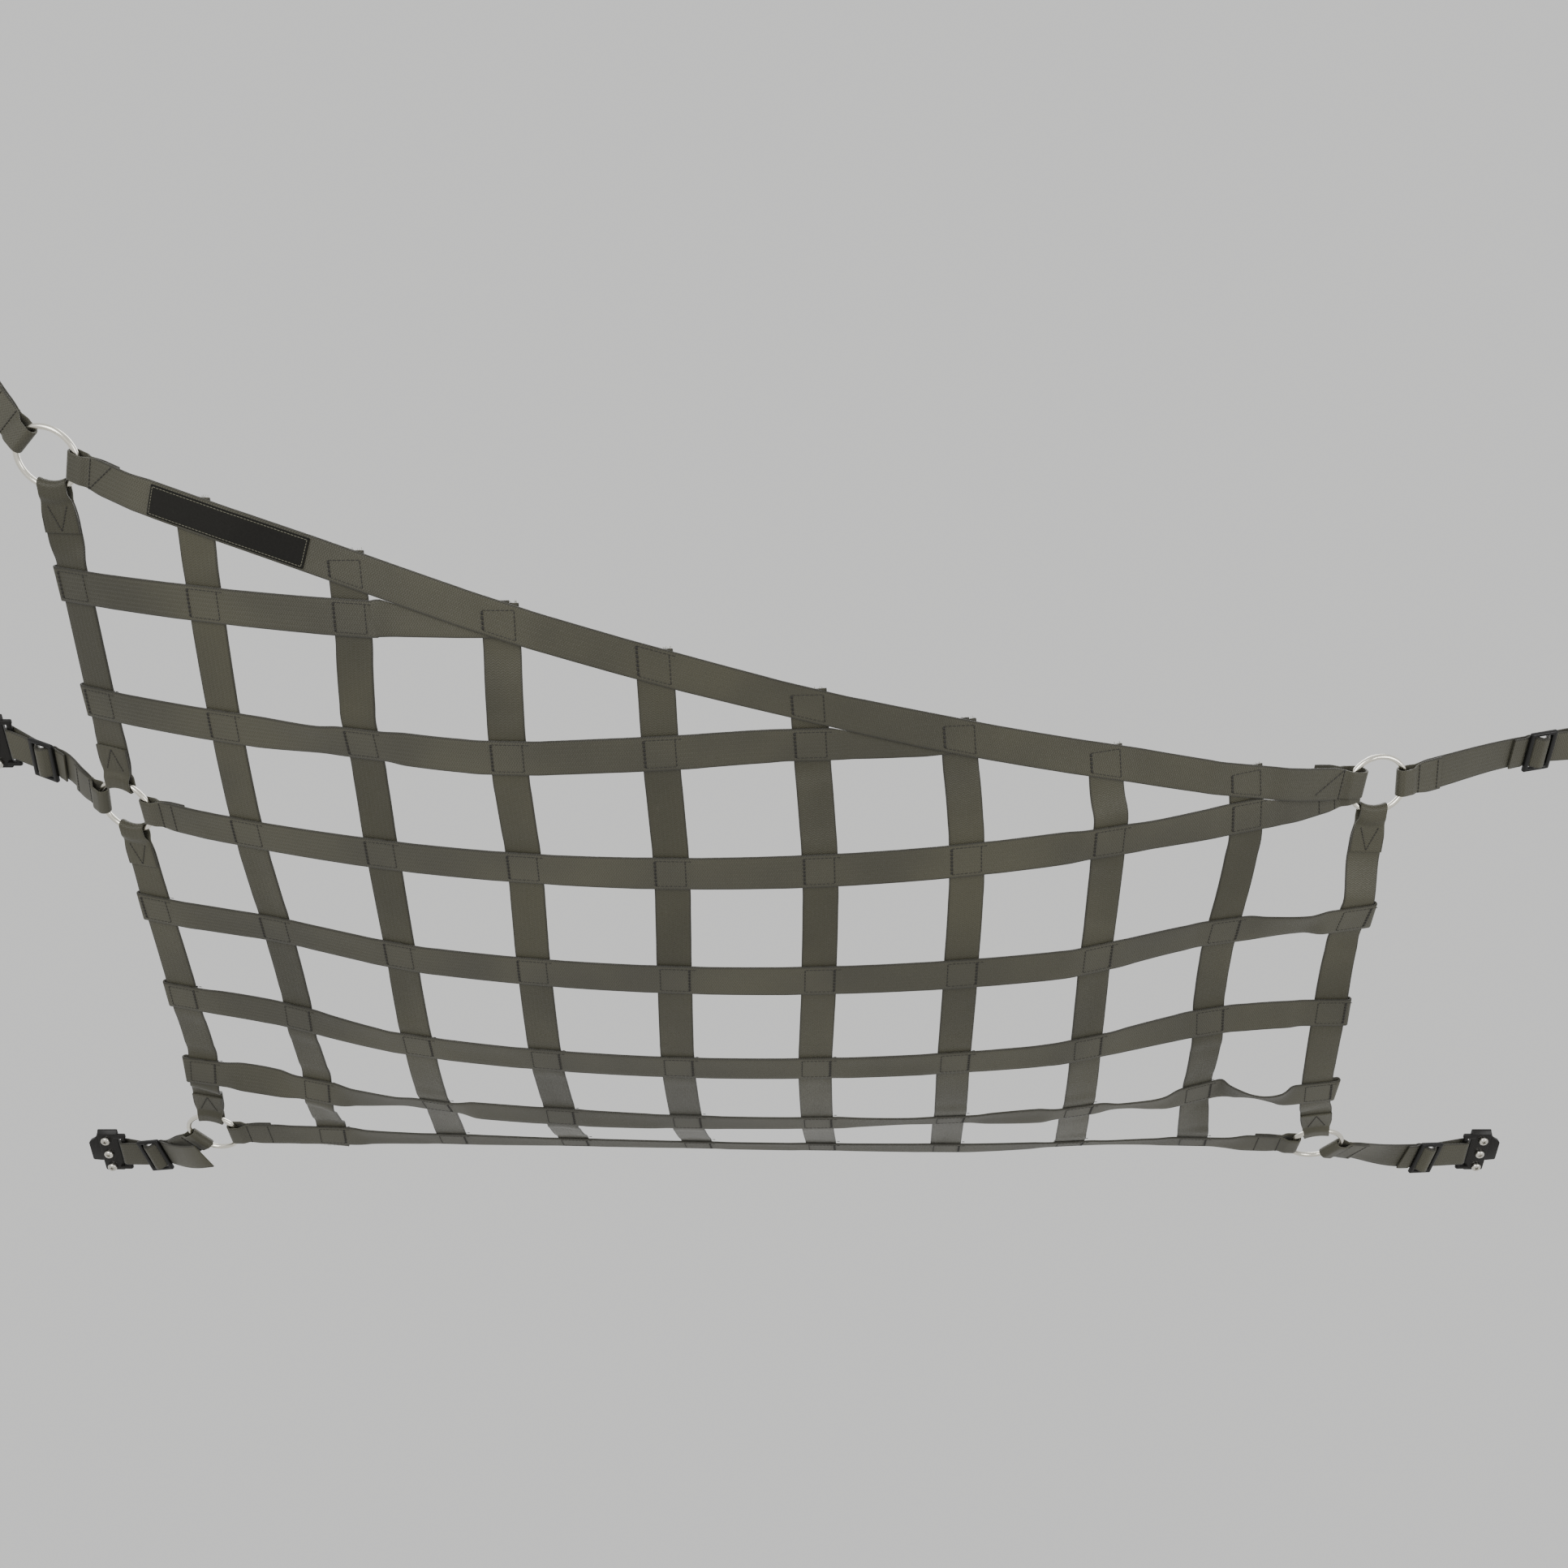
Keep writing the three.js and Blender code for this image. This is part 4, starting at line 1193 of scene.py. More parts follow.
@dataclass(frozen=True)
class WovenFinish:
    """Woven cloth that follows the piece's own UV map, with painted shade in the gaps between its yarns and a
    dark edge band that is part selvedge, part painted shade.
    """

    name: str
    light: Colour
    dark: Colour
    # colour of the painted shade in the gaps between the yarns and along the edges
    gap_and_edge_shade: Colour
    dust: Colour
    rib: float = 1.7 * MM
    yarn: float = 1.55 * MM
    depth: float = 0.22 * MM
    roughness: float = 0.56
    sheen: float = 0.12
    specular: float = 0.5
    gloss_stretch: float = 0.8
    half: float = HALF_WIDTH * MM
    drift: float = 9.0
    gap_shade_share: float = 0.75
    # darkness of the edge band, partly the selvedge's own weave and partly painted shade
    selvedge_and_shade_share: float = 0.6
    dust_share: float = 0.14
    fuzz_share: float = 0.35

    @cache
    def material(self) -> bpy.types.Material:
        """Builds the material.

        Returns:
            The material.
        """
        made, g, shader = new_material(self.name)
        uv = g.node("ShaderNodeUVMap").outputs[0]
        marks = g.group(Groups.handling(), Scale=self.drift)
        cloth = g.group(Groups.weave(), Vector=uv, Rib=self.rib, Yarn=self.yarn)
        tone = g.mix(marks.outputs["Drift"], self.dark, self.light)
        # painted shade: the gaps between the yarns are darkened toward the near-black shade colour
        yarns = g.mix(g.math("MULTIPLY", cloth.outputs["Gap shade"], self.gap_shade_share), tone, self.gap_and_edge_shade)
        side = g.math("ABSOLUTE", g.node("ShaderNodeSeparateXYZ", {0: uv}).outputs[1])
        # edge band: a darker selvedge and painted shade along both edges, mixed toward the shade colour
        edge = g.math("MULTIPLY", g.span(side, self.half - 1.5 * MM, self.half - 0.5 * MM), self.selvedge_and_shade_share)
        selvedge_and_shade_edged = g.mix(edge, yarns, self.gap_and_edge_shade)
        dusty = g.mix(g.math("MULTIPLY", marks.outputs["Dust"], self.dust_share), selvedge_and_shade_edged, self.dust)
        g.feed(shader.inputs["Base Color"], dusty)
        g.feed(shader.inputs["Roughness"], g.span(marks.outputs["Fuzz"], 0.2, 0.8, self.roughness - 0.08,
                                                  self.roughness + 0.1))
        shader.inputs["Sheen Weight"].default_value = self.sheen
        shader.inputs["Sheen Roughness"].default_value = 0.5
        shader.inputs["Specular IOR Level"].default_value = self.specular
        shader.inputs["Anisotropic"].default_value = self.gloss_stretch
        shader.inputs["Anisotropic Rotation"].default_value = 0.25
        g.feed(shader.inputs["Tangent"], g.node("ShaderNodeTangent", direction_type="UV_MAP").outputs[0])
        height = g.math("ADD", cloth.outputs["Height"],
                        g.math("MULTIPLY", marks.outputs["Fuzz"], self.fuzz_share))
        g.relief(shader, height, 0.8, self.depth)
        return made


@dataclass(frozen=True)
class SteelFinish:
    """Polished or plated steel with fine scratches."""

    name: str
    colour: Colour
    roughness: float

    def material(self) -> bpy.types.Material:
        """Builds the material.

        Returns:
            The material.
        """
        made, g, shader = new_material(self.name)
        marks = g.group(Groups.handling(), Scale=30.0)
        shade = tuple(c * 0.82 for c in self.colour[:3]) + (1.0,)
        g.feed(shader.inputs["Base Color"], g.mix(marks.outputs["Drift"], self.colour, shade))
        shader.inputs["Metallic"].default_value = 1.0
        g.feed(shader.inputs["Roughness"], g.span(marks.outputs["Drift"], 0.0, 1.0, self.roughness,
                                                  self.roughness + 0.12))
        g.relief(shader, marks.outputs["Fuzz"], 0.25, 0.05 * MM)
        return made


@dataclass(frozen=True)
class BlackFinish:
    """Black plastic or lacquer with a fine grain and slightly greyer worn places."""

    name: str
    colour: Colour
    worn: Colour
    roughness: float
    grain: float
    coat: float
    specular: float = 0.28

    def material(self) -> bpy.types.Material:
        """Builds the material.

        Returns:
            The material.
        """
        made, g, shader = new_material(self.name)
        marks = g.group(Groups.handling(), Scale=25.0)
        share = g.math("MULTIPLY", marks.outputs["Dust"], 0.5)
        g.feed(shader.inputs["Base Color"], g.mix(share, self.colour, self.worn))
        g.feed(shader.inputs["Roughness"], g.span(marks.outputs["Drift"], 0.0, 1.0, self.roughness,
                                                  self.roughness + 0.12))
        shader.inputs["Specular IOR Level"].default_value = self.specular
        shader.inputs["Coat Weight"].default_value = self.coat
        shader.inputs["Coat Roughness"].default_value = 0.2
        g.relief(shader, marks.outputs["Fuzz"], 0.5, self.grain)
        return made


@dataclass(frozen=True)
class ThreadFinish:
    """Twisted sewing thread."""

    name: str
    colour: Colour

    def material(self) -> bpy.types.Material:
        """Builds the material.

        Returns:
            The material.
        """
        made, g, shader = new_material(self.name)
        marks = g.group(Groups.handling(), Scale=40.0)
        lighter = tuple(min(c * 1.9, 1.0) for c in self.colour[:3]) + (1.0,)
        g.feed(shader.inputs["Base Color"], g.mix(marks.outputs["Fuzz"], self.colour, lighter))
        shader.inputs["Roughness"].default_value = 0.6
        g.relief(shader, marks.outputs["Fuzz"], 0.4, 0.1 * MM)
        return made


# the third colour of each cloth is the painted shade of its yarns' gaps and edges
WEBBING = WovenFinish("olive grey webbing", (0.054, 0.051, 0.031, 1), (0.036, 0.034, 0.021, 1),
                      (0.010, 0.009, 0.006, 1), (0.09, 0.08, 0.06, 1))
PATCH_CLOTH = WovenFinish("dark grey label cloth", (0.014, 0.0135, 0.012, 1), (0.010, 0.0095, 0.0085, 1),
                          (0.005, 0.005, 0.0045, 1), (0.03, 0.029, 0.026, 1), rib=0.55 * MM, yarn=0.5 * MM,
                          depth=0.06 * MM, roughness=0.8, sheen=0.02, specular=0.15, gloss_stretch=0.0,
                          half=10.5 * MM)
RING_STEEL = SteelFinish("polished ring steel", (0.93, 0.90, 0.80, 1), 0.14)
SCREW_STEEL = SteelFinish("plated screw steel", (0.74, 0.72, 0.66, 1), 0.20)
SLIDE_PLASTIC = BlackFinish("black moulded plastic", (0.006, 0.006, 0.006, 1), (0.03, 0.028, 0.025, 1), 0.26,
                            0.02 * MM, coat=0.12)
BRACKET_PAINT = BlackFinish("black bracket lacquer", (0.007, 0.0065, 0.006, 1), (0.035, 0.032, 0.028, 1), 0.32,
                            0.03 * MM, coat=0.05)
# near-black thread; its dashes, wider than the thread itself, also carry the painted shade of the grooves that
# the stitches sink into
THREAD = ThreadFinish("dark sewing thread with groove shade", (0.009, 0.008, 0.006, 1))
BORDER_THREAD = ThreadFinish("olive label thread", (0.075, 0.073, 0.052, 1))
LOOSE_THREAD = ThreadFinish("frayed webbing yarn", (0.13, 0.125, 0.095, 1))


# Sewing


@dataclass
class Stitches:
    """All stitches of one part of the net, stamped from one modelled stitch."""

    name: str
    length: float = 2.5
    pause: float = 0.45
    sunk: float = 0.12
    places: list[Matrix] = field(default_factory=list)

    def line(self, path: Sequence[tuple[Vector, Vector]], width: float) -> None:
        """Runs stitches along a line on a surface.

        Args:
            path: points on the surface, each with the surface's outward direction.
            width: thickness of the thread.
        """
        for (a, n), (b, _) in zip(path, path[1:]):
            whole = (b - a).length
            if whole < 1e-6:
                continue
            count = max(1, round(whole / (self.length + self.pause)))
            way = (b - a) / whole
            out = in_plane(n, way)
            pitch = whole / count
            for k in range(count):
                middle = a + way * (pitch * (k + 0.5))
                turn = Matrix((way, out.cross(way), out)).transposed().to_4x4()
                size = Matrix.Diagonal((pitch - self.pause, width, width, 1))
                self.places.append(Matrix.Translation(middle + out * (width * self.sunk)) @ turn @ size)

    @staticmethod
    @cache
    def _one_stitch() -> tuple[np.ndarray, list[tuple[int, ...]]]:
        """Models one stitch of unit length and thickness.

        Returns:
            Its vertices and faces.
        """
        bend, thin, flat, dip = 0.3, 0.45, 0.4, 0.22
        piece = added(bpy.ops.mesh.primitive_cylinder_add, vertices=6, radius=0.5, depth=1,
                      rotation=(0, math.pi / 2, 0), end_fill_type="NGON")
        bpy.ops.object.mode_set(mode="EDIT")
        for x in (-bend, bend):
            bpy.ops.mesh.select_all(action="SELECT")
            bpy.ops.mesh.bisect(plane_co=(x, 0, 0), plane_no=(1, 0, 0))
        bpy.ops.object.mode_set(mode="OBJECT")
        for vertex in piece.data.vertices:
            if abs(vertex.co.x) > bend + 0.1:
                vertex.co.y *= thin
                vertex.co.z = vertex.co.z * flat - dip
        corners = np.array([v.co[:] for v in piece.data.vertices])
        faces = [tuple(p.vertices) for p in piece.data.polygons]
        bpy.data.objects.remove(piece, do_unlink=True)
        return corners, faces

    def build(self) -> Piece:
        """Stamps all stitches into one mesh.

        Returns:
            The piece.
        """
        corners, faces = self._one_stitch()
        solid = np.concatenate([corners, np.ones((len(corners), 1))], axis=1)
        points: list[np.ndarray] = []
        polygons: list[tuple[int, ...]] = []
        for place in self.places:
            offset = len(points) * len(corners)
            points.append((solid @ np.array(place).T)[:, :3] * MM)
            polygons.extend(tuple(i + offset for i in face) for face in faces)
        mesh = bpy.data.meshes.new(self.name)
        mesh.from_pydata(np.concatenate(points).tolist(), [], polygons)
        mesh.update()
        piece = placed(self.name, mesh)
        smooth_shading(piece, 60)
        return piece


def dressed(piece: Piece, finish: bpy.types.Material, node: str | None = None) -> None:
    """Gives a piece its finish, puts it under the root body and hides the CAD node that it stands for.

    Args:
        piece: the piece.
        finish: its material.
        node: the CAD node that it stands for.
    """
    piece.data.materials.clear()
    piece.data.materials.append(finish)
    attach(piece, "root")
    if node:
        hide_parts(node)


@dataclass
class SewnStraps:
    """The straps that are sewn together to the net."""

    layout: NetLayout
    bands: dict[str, Band] = field(default_factory=dict)
    pieces: dict[str, Piece] = field(default_factory=dict)

    def plan(self) -> None:
        """Lays out every band."""
        for k, strap in enumerate(CROSS_STRAPS):
            self._add(f"cross_strap_{k + 1}", self.layout.rows[strap.key], self._cross_stops(strap))
        self._add("diagonal_strap", self.layout.diagonal, self._diagonal_stops())
        for column in range(1, DIAGONAL.last):
            line = self.layout.length_line(column, 0, LAST_LEVEL)
            self._add(f"length_strap_{column}", line, self._length_stops(line, column))
        for name, column, start, end in EDGE_STRAPS:
            line = self.layout.length_line(column, start, end)
            self._add(name, line, self._edge_stops(line, start, end))

    def _add(self, node: str, line: StrapLine, stops: list[Stop]) -> None:
        """Keeps one band under its CAD node's name."""
        self.bands[node] = Band(f"woven_{node}", line, stops)

    def _cross_stops(self, strap: HungStrap) -> list[Stop]:
        """Stops of a cross strap.

        Args:
            strap: its row of the table.

        Returns:
            The stops from the left cut end to the right one.
        """
        line, curve = self.layout.rows[strap.key], self.layout.curves[strap.key]
        whole = curve.pitch * strap.last
        beside = strap.key in TUCKED
        ends_under = beside and strap.last < DIAGONAL.last
        crossing = line.patches[-1].u

        def height(u: float) -> float:
            """Height of the strap over its line."""
            rise = smooth(u, crossing + HALF_WIDTH + 1, crossing + TUCK_RISE) if ends_under else 0.0
            return -HALF_LAYER + TUCK_LIFT * rise

        def wrap(patch: Patch, at: float, way: int) -> list[Stop]:
            """One end, wrapped round the outer length strap."""
            return wrap_round_strap(sewn_half(patch.along, patch.down) - WRAP_CLOSE, at, way)

        ring_left = self.layout.ring_at(strap.key, 0)
        ring_right = self.layout.ring_at(strap.key, DIAGONAL.last)
        if ring_left:
            left = loop_round_ring(line.patches[0].lift, -HALF_LAYER, 0, 1)
        else:
            left = wrap(line.patches[0], 0, -1)
        if ring_right:
            lift = self.layout.diagonal.patches[-1].lift + INNER_LIFT if beside else line.patches[-1].lift
            right = loop_round_ring(lift, -HALF_LAYER, whole, -1)
        elif ends_under:
            right = []
        else:
            right = wrap(line.patches[-1], whole, 1)
        start = LOOP.flat if ring_left else left[0].u + WRAP_START
        end = whole - LOOP.flat if ring_right else whole + TUCK_END if ends_under else right[0].u - WRAP_START
        stops = stretch(start, end, height, creases(line.patches, strap.level, CROSS_CREASE))
        if beside:
            stops = [self._trimmed(strap.key, line, stop, crossing) for stop in stops]
        return [*left[::-1], *stops, *right]

    def _trimmed(self, key: str, line: StrapLine, stop: Stop, crossing: float) -> Stop:
        """Keeps the near edge clear of the diagonal until both lie on different levels.

        Args:
            key: the cross strap.
            line: its line.
            stop: a stop of it.
            crossing: distance along it of its last crossing.

        Returns:
            The stop, narrower where it has to be.
        """
        if not crossing <= stop.u <= crossing + TUCK_FULL:
            return stop
        place = self.layout.tuck_place(key, stop.u)
        slant = line.at(stop.u).across.dot(place.frame.across)
        return replace(stop, near=min(HALF_WIDTH, (place.aside - HALF_WIDTH - TRIM_CLEAR) / slant))

    def _diagonal_stops(self) -> list[Stop]:
        """Stops of the diagonal, whose right loop lies outside cross strap 5's.

        Returns:
            The stops from the left cut end to the right one.
        """
        line = self.layout.diagonal
        whole = self.layout.curves["T"].pitch * DIAGONAL.last
        drop = line.patches[DIAGONAL.last - 1].u + DROP_AFTER
        return [
            *loop_round_ring(line.patches[0].lift, -HALF_LAYER, 0, 1)[::-1],
            *stretch(LOOP.flat, whole - LOOP.flat,
                     lambda u: -HALF_LAYER - OUTER_OFF * smooth(u, drop, drop + DROP_LENGTH)),
            *loop_round_ring(line.patches[-1].lift, -HALF_LAYER - OUTER_OFF, whole, -1, OUTER_LOOP),
        ]

    @staticmethod
    def _length_stops(line: StrapLine, column: int) -> list[Stop]:
        """Stops of an inner length strap, from one cut end to the other.

        Args:
            line: its line.
            column: its number.

        Returns:
            The stops.
        """
        first, last = line.patches[0], line.patches[-1]
        over = any(strap.key in TUCKED and strap.last == column for strap in CROSS_STRAPS)
        top = last.u - last.half
        return stretch(first.u - first.half - END_POKE, last.u + HEAD_END,
                       lambda u: HALF_LAYER + (TUCK_LIFT * smooth(u, top - HEAD_RISE, top) if over else 0.0),
                       creases(line.patches, column, CREASE))

    @staticmethod
    def _edge_stops(line: StrapLine, start: float, end: float) -> list[Stop]:
        """Stops of an outer length strap, which runs from ring to ring.

        Args:
            line: its line.
            start: level of the first ring.
            end: level of the last one.

        Returns:
            The stops.
        """
        a, b = start * COLUMN_PITCH, end * COLUMN_PITCH
        return [
            *loop_round_ring(line.patches[0].lift, HALF_LAYER, a, 1, arched=True)[::-1],
            *stretch(a + LOOP.flat, b - LOOP.flat, lambda u: HALF_LAYER),
            *loop_round_ring(line.patches[-1].lift, HALF_LAYER, b, -1, arched=True),
        ]

    def build(self) -> None:
        """Builds every band."""
        for node, band in self.bands.items():
            self.pieces[node] = band.build()
            log.info("%s: %.0f mm of webbing", band.name, band.length())

    @staticmethod
    def _rests(node: str) -> list[str]:
        """What a strap hangs from.

        Args:
            node: its CAD node.

        Returns:
            The names of two nodes.
        """
        ends = {"cross_strap_1": ["ring_4", "ring_5"], "cross_strap_5": ["ring_2", "ring_3"],
                "diagonal_strap": ["ring_1", "ring_3"], "edge_strap_left_far": ["ring_4", "ring_2"],
                "edge_strap_left_near": ["ring_2", "ring_1"], "edge_strap_right": ["ring_5", "ring_3"]}
        if node in ends:
            return ends[node]
        if node.startswith("cross"):
            return ["edge_strap_left_far" if int(node[-1]) < 5 else "edge_strap_left_near",
                    "edge_strap_right" if int(node[-1]) < 5 else "diagonal_strap"]
        return ["cross_strap_1", "diagonal_strap"]

    def dress(self) -> None:
        """Gives every strap its finish."""
        finish = WEBBING.material()
        for node, piece in self.pieces.items():
            dressed(piece, finish, node)
            round(self.bands[node].length() * MM, 3)
            self._rests(node)


# Hard pieces


@dataclass
class RingSet:
    """Welded rings of round steel."""

    layout: NetLayout
    wire: float = RING_WIRE
    weld_half: float = 4.0       # degrees
    weld_rise: float = 0.12
    weld_turns: tuple[float, float] = (37.0, 71.0)     # the first, and from each ring to the next
    pieces: dict[str, Piece] = field(default_factory=dict)

    def build(self) -> None:
        """Models one ring with its weld and copies it to each place."""
        first = added(bpy.ops.mesh.primitive_torus_add, major_radius=RING_MEAN * MM,
                      minor_radius=self.wire / 2 * MM, major_segments=96, minor_segments=20)
        edit_faces(first, lambda p: abs(math.atan2(p.y, p.x)) < math.radians(self.weld_half))
        bpy.ops.transform.shrink_fatten(value=self.weld_rise * MM)
        bpy.ops.object.mode_set(mode="OBJECT")
        smooth_shading(first, 60)
        for number, ring in enumerate(self.layout.rings, 1):
            turn = Vector((0, 0, 1)).rotation_difference(ring.normal).to_matrix().to_4x4()
            weld = Matrix.Rotation(math.radians(self.weld_turns[0] + self.weld_turns[1] * number), 4, "Z")
            place = Matrix.Translation(ring.centre * MM) @ turn @ weld
            self.pieces[f"ring_{number}"] = copy_of(first, f"polished_ring_{number}", place)
            log.info("ring %d", number)
        bpy.data.objects.remove(first, do_unlink=True)

    def dress(self) -> None:
        """Gives every ring its finish."""
        finish = RING_STEEL.material()
        for node, piece in self.pieces.items():
            dressed(piece, finish, node)


@dataclass
class SlideSizes:
    """A three-bar slide. Its bars run along Y, and the strap along X."""

    outer_bar: float = 1.75
    centre_bar: float = 1.5
    pitch: float = 9.25
    rail_inner: float = 13.5
    rail_outer: float = 16.5
    flat: float = 13.0
    depth: float = 3.7
    rounding: float = 1.15


SLIDE = SlideSizes()


@dataclass
class AnchorLine:
    """The line of an anchor strap, with h to the underside, and its places at the slide and the bar."""

    line: StrapLine
    at_slide: float
    at_bar: float
    bar_depth: float


@dataclass
class Anchors:
    """Straps between the rings and the brackets, each with its slide."""

    layout: NetLayout
    lines: dict[int, AnchorLine] = field(default_factory=dict)
    bands: dict[int, Band] = field(default_factory=dict)
    pieces: dict[str, Piece] = field(default_factory=dict)
    slides: dict[str, Piece] = field(default_factory=dict)

    def _line(self, plan: AnchorPlan) -> AnchorLine:
        """Line of one anchor strap.

        Args:
            plan: its row of the table.

        Returns:
            The line and its places.
        """
        ring = self.layout.ring_at(plan.strap, plan.column)
        across = Vector((0, 1, 0))
        slide, bar = Vector(plan.slide), Vector(plan.bar)

        def facing(direction: Vector) -> Vector:
            """The underside of a band that runs this way."""
            normal = direction.cross(across).normalized()
            return -normal if normal.z > 0 else normal

        slide_normal = facing((slide - ring.centre).normalized())
        threaded = slide - slide_normal * SLIDE.depth
        at_bar = in_plane(bar - threaded, across)
        bar_normal = facing(at_bar)
        bar_depth = RING_WIRE / 2 + GAP + WEB_THICK / 2 - HALF_LAYER
        looped = bar - bar_normal * bar_depth
        along = ((threaded - ring.centre).normalized() + at_bar).normalized()
        entry = threaded - along * SLIDE.flat
        hung = replace(self.layout.hung_patch(ring, entry, 0, 1), half=ANCHOR_STRAIGHT - 1, ease=ANCHOR_EASE)
        hung.normal.negate()
        u_slide = RING_MEAN + (entry - hung.point).length + SLIDE.flat
        u_bar = u_slide + (looped - threaded).length
        held = Patch(u_slide, threaded, along, in_plane(slide_normal, along), across, SLIDE.flat, ANCHOR_EASE,
                     BAR_EASE)
        bent = Patch(u_bar, looped, at_bar, bar_normal, across, BAR_FLAT, BAR_EASE)
        knots = [hung, hung.shifted(ANCHOR_STRAIGHT), held.shifted(-SLIDE.flat), held, bent]
        return AnchorLine(StrapLine(spans_between(knots), [hung, held, bent]), u_slide, u_bar, bar_depth)

    def _stops(self, plan: AnchorPlan, found: AnchorLine) -> list[Stop]:
        """Stops of one anchor strap.

        It goes round the ring, up over the slide's centre bar, round the bracket's bar, and back.

        Args:
            plan: its row of the table.
            found: its line.

        Returns:
            The stops.
        """

        def arc(pin: tuple[float, float], radius: float, start: float, end: float, steps: int) -> list[Stop]:
            """Stops on an arc round a pin, with angles from below it towards +u."""
            angles = [math.radians(start + (end - start) * k / steps) for k in range(steps + 1)]
            return [Stop(pin[0] + radius * math.sin(a), pin[1] - radius * math.cos(a)) for a in angles]

        touch = GAP + WEB_THICK / 2
        inner, centre, outer = (
            (found.at_slide + d, SLIDE.depth - HALF_LAYER) for d in (-SLIDE.pitch, 0, SLIDE.pitch)
        )
        bar = (found.at_bar, found.bar_depth)
        inside, over = SLIDE.outer_bar + touch, SLIDE.centre_bar + touch
        outside = inside + LAYER
        slope = math.degrees(math.asin((outside + over) / SLIDE.pitch))
        bar_radius = BRACKET.bar + touch
        away = math.hypot(bar[0] - outer[0], bar[1] - outer[1])
        lean = math.degrees(math.atan2(bar[1] - outer[1], bar[0] - outer[0]))
        back = math.degrees(math.asin((bar_radius + inside) / away)) + lean
        clear = SLIDE.flat - SLIDE.pitch
        free = []
        for share in np.linspace(0, 1, 12):
            rise = TAIL_CLEAR + (plan.droop - TAIL_CLEAR) * math.sin(share * math.pi / 2)
            free.append(Stop(inner[0] - clear - (plan.tail - clear) * share, inner[1] - inside + rise,
                             pin=inner[0] if plan.loose else None, aside=plan.swing * share,
                             slant=plan.slant if share == 1 else 0.0))
        return [
            *loop_round_ring(found.line.patches[0].lift, -HALF_LAYER, 0, 1)[::-1],
            *stretch(LOOP.flat, found.at_slide - SLIDE.flat, lambda u: -HALF_LAYER),
            *arc(inner, outside, 0, slope, 4),
            *arc(centre, over, 180 + slope, 180 - slope, 8),
            *arc(outer, outside, -slope, 0, 4),
            *arc(bar, bar_radius, 0, 180 + back, 20),
            *arc(outer, inside, back, -slope, 6),
            *arc(centre, over + LAYER, 180 - slope, 180 + slope, 8),
            *arc(inner, inside, slope, -TAIL_ANGLE, 6),
            *free,
        ]

    def plan(self) -> None:
        """Lays out the five straps."""
        for plan in ANCHORS:
            found = self._line(plan)
            self.lines[plan.ring] = found
            name = f"woven_anchor_strap_{plan.ring}"
            self.bands[plan.ring] = Band(name, found.line, self._stops(plan, found))

    @staticmethod
    def _model_slide() -> Piece:
        """Models the moulded slide from a grid with two windows.

        Returns:
            The slide, with its middle at the origin.
        """
        s = SLIDE
        edge = s.pitch + s.outer_bar
        xs = (-edge, -s.pitch + s.outer_bar, -s.centre_bar, s.centre_bar, s.pitch - s.outer_bar, edge)
        ys = (-s.rail_outer, -s.rail_inner, s.rail_inner, s.rail_outer)
        piece = added(bpy.ops.mesh.primitive_grid_add, x_subdivisions=5, y_subdivisions=3, size=2)
        for vertex in piece.data.vertices:
            i, j = round((vertex.co.x + 1) / 2 * 5), round((vertex.co.y + 1) / 2 * 3)
            vertex.co = (xs[i] * MM, ys[j] * MM, -s.outer_bar * MM)
        edit_faces(piece, lambda p: abs(p.y) < s.rail_inner and s.centre_bar < abs(p.x) < s.pitch - s.outer_bar)
        bpy.ops.mesh.delete(type="FACE")
        raised(piece, 2 * s.outer_bar)
        rounded(piece, s.rounding, 4, 50)
        smooth_shading(piece, 50)
        return piece

    def build(self) -> None:
        """Builds the straps and copies the slide to each of them."""
        first = self._model_slide()
        for number, band in self.bands.items():
            self.pieces[f"anchor_strap_{number}"] = band.build()
            found = self.lines[number]
            place = found.line.at(found.at_slide)
            centre = place.point + place.normal * (SLIDE.depth - HALF_LAYER)
            turn = Matrix((place.along, place.across, place.normal)).transposed().to_4x4()
            self.slides[f"buckle_{number}"] = copy_of(first, f"moulded_slide_{number}",
                                                      Matrix.Translation(centre * MM) @ turn)
            log.info("anchor %d: %.0f mm of webbing", number, band.length())
        bpy.data.objects.remove(first, do_unlink=True)

    def dress(self) -> None:
        """Gives the straps and the slides their finishes."""
        cloth = WEBBING.material()
        for number, band in self.bands.items():
            node = f"anchor_strap_{number}"
            dressed(self.pieces[node], cloth, node)
            round(band.length() * MM, 3)
        plastic = SLIDE_PLASTIC.material()
        for node, piece in self.slides.items():
            dressed(piece, plastic, node)


@dataclass
class BracketSizes:
    """A bracket with its middle at y = 0, seen on the right-hand side."""

    inner: float = 585.0
    outer: float = 602.0
    half_length: float = 22.5
    thick: float = 4.5
    corner: float = 1.6
    bevel: float = 3.0
    rounding: float = 0.7
    fine_rounding: float = 0.4
    wing_thick: float = 3.0
    wing: tuple[tuple[float, float], ...] = ((-1, -19.5), (0.6, -19.5), (1.2, -17), (3.6, -13.6), (7.6, -11),
                                             (9.5, -8.5), (9.5, 10.5), (8.5, 11.5), (-1, 12.5))
    bar: float = 2.0
    arm_inner: float = 16.5
    arm_outer: float = 19.5
    arm_thick: float = 4.0
    arm_over: float = 2.5
    arm_into: float = 3.0
    arm_corner: float = 1.6
    screw_x: float = 595.5
    screw_y: float = 2.5
    screw_pitch: float = 15.5


BRACKET = BracketSizes()


@dataclass
class ScrewSizes:
    """A pan-head screw, from its seat under the bracket's plate."""

    head: float = 4.0
    deep: float = 2.8
    crown: float = 1.9
    slot: tuple[float, float] = (2.1, 0.55)
    slot_depth: float = 1.6
    slot_narrows: float = 0.6
    shank: float = 2.0
    shank_bevel: float = 0.3
    seat: float = -(BRACKET.thick + GAP)


SCREW = ScrewSizes()


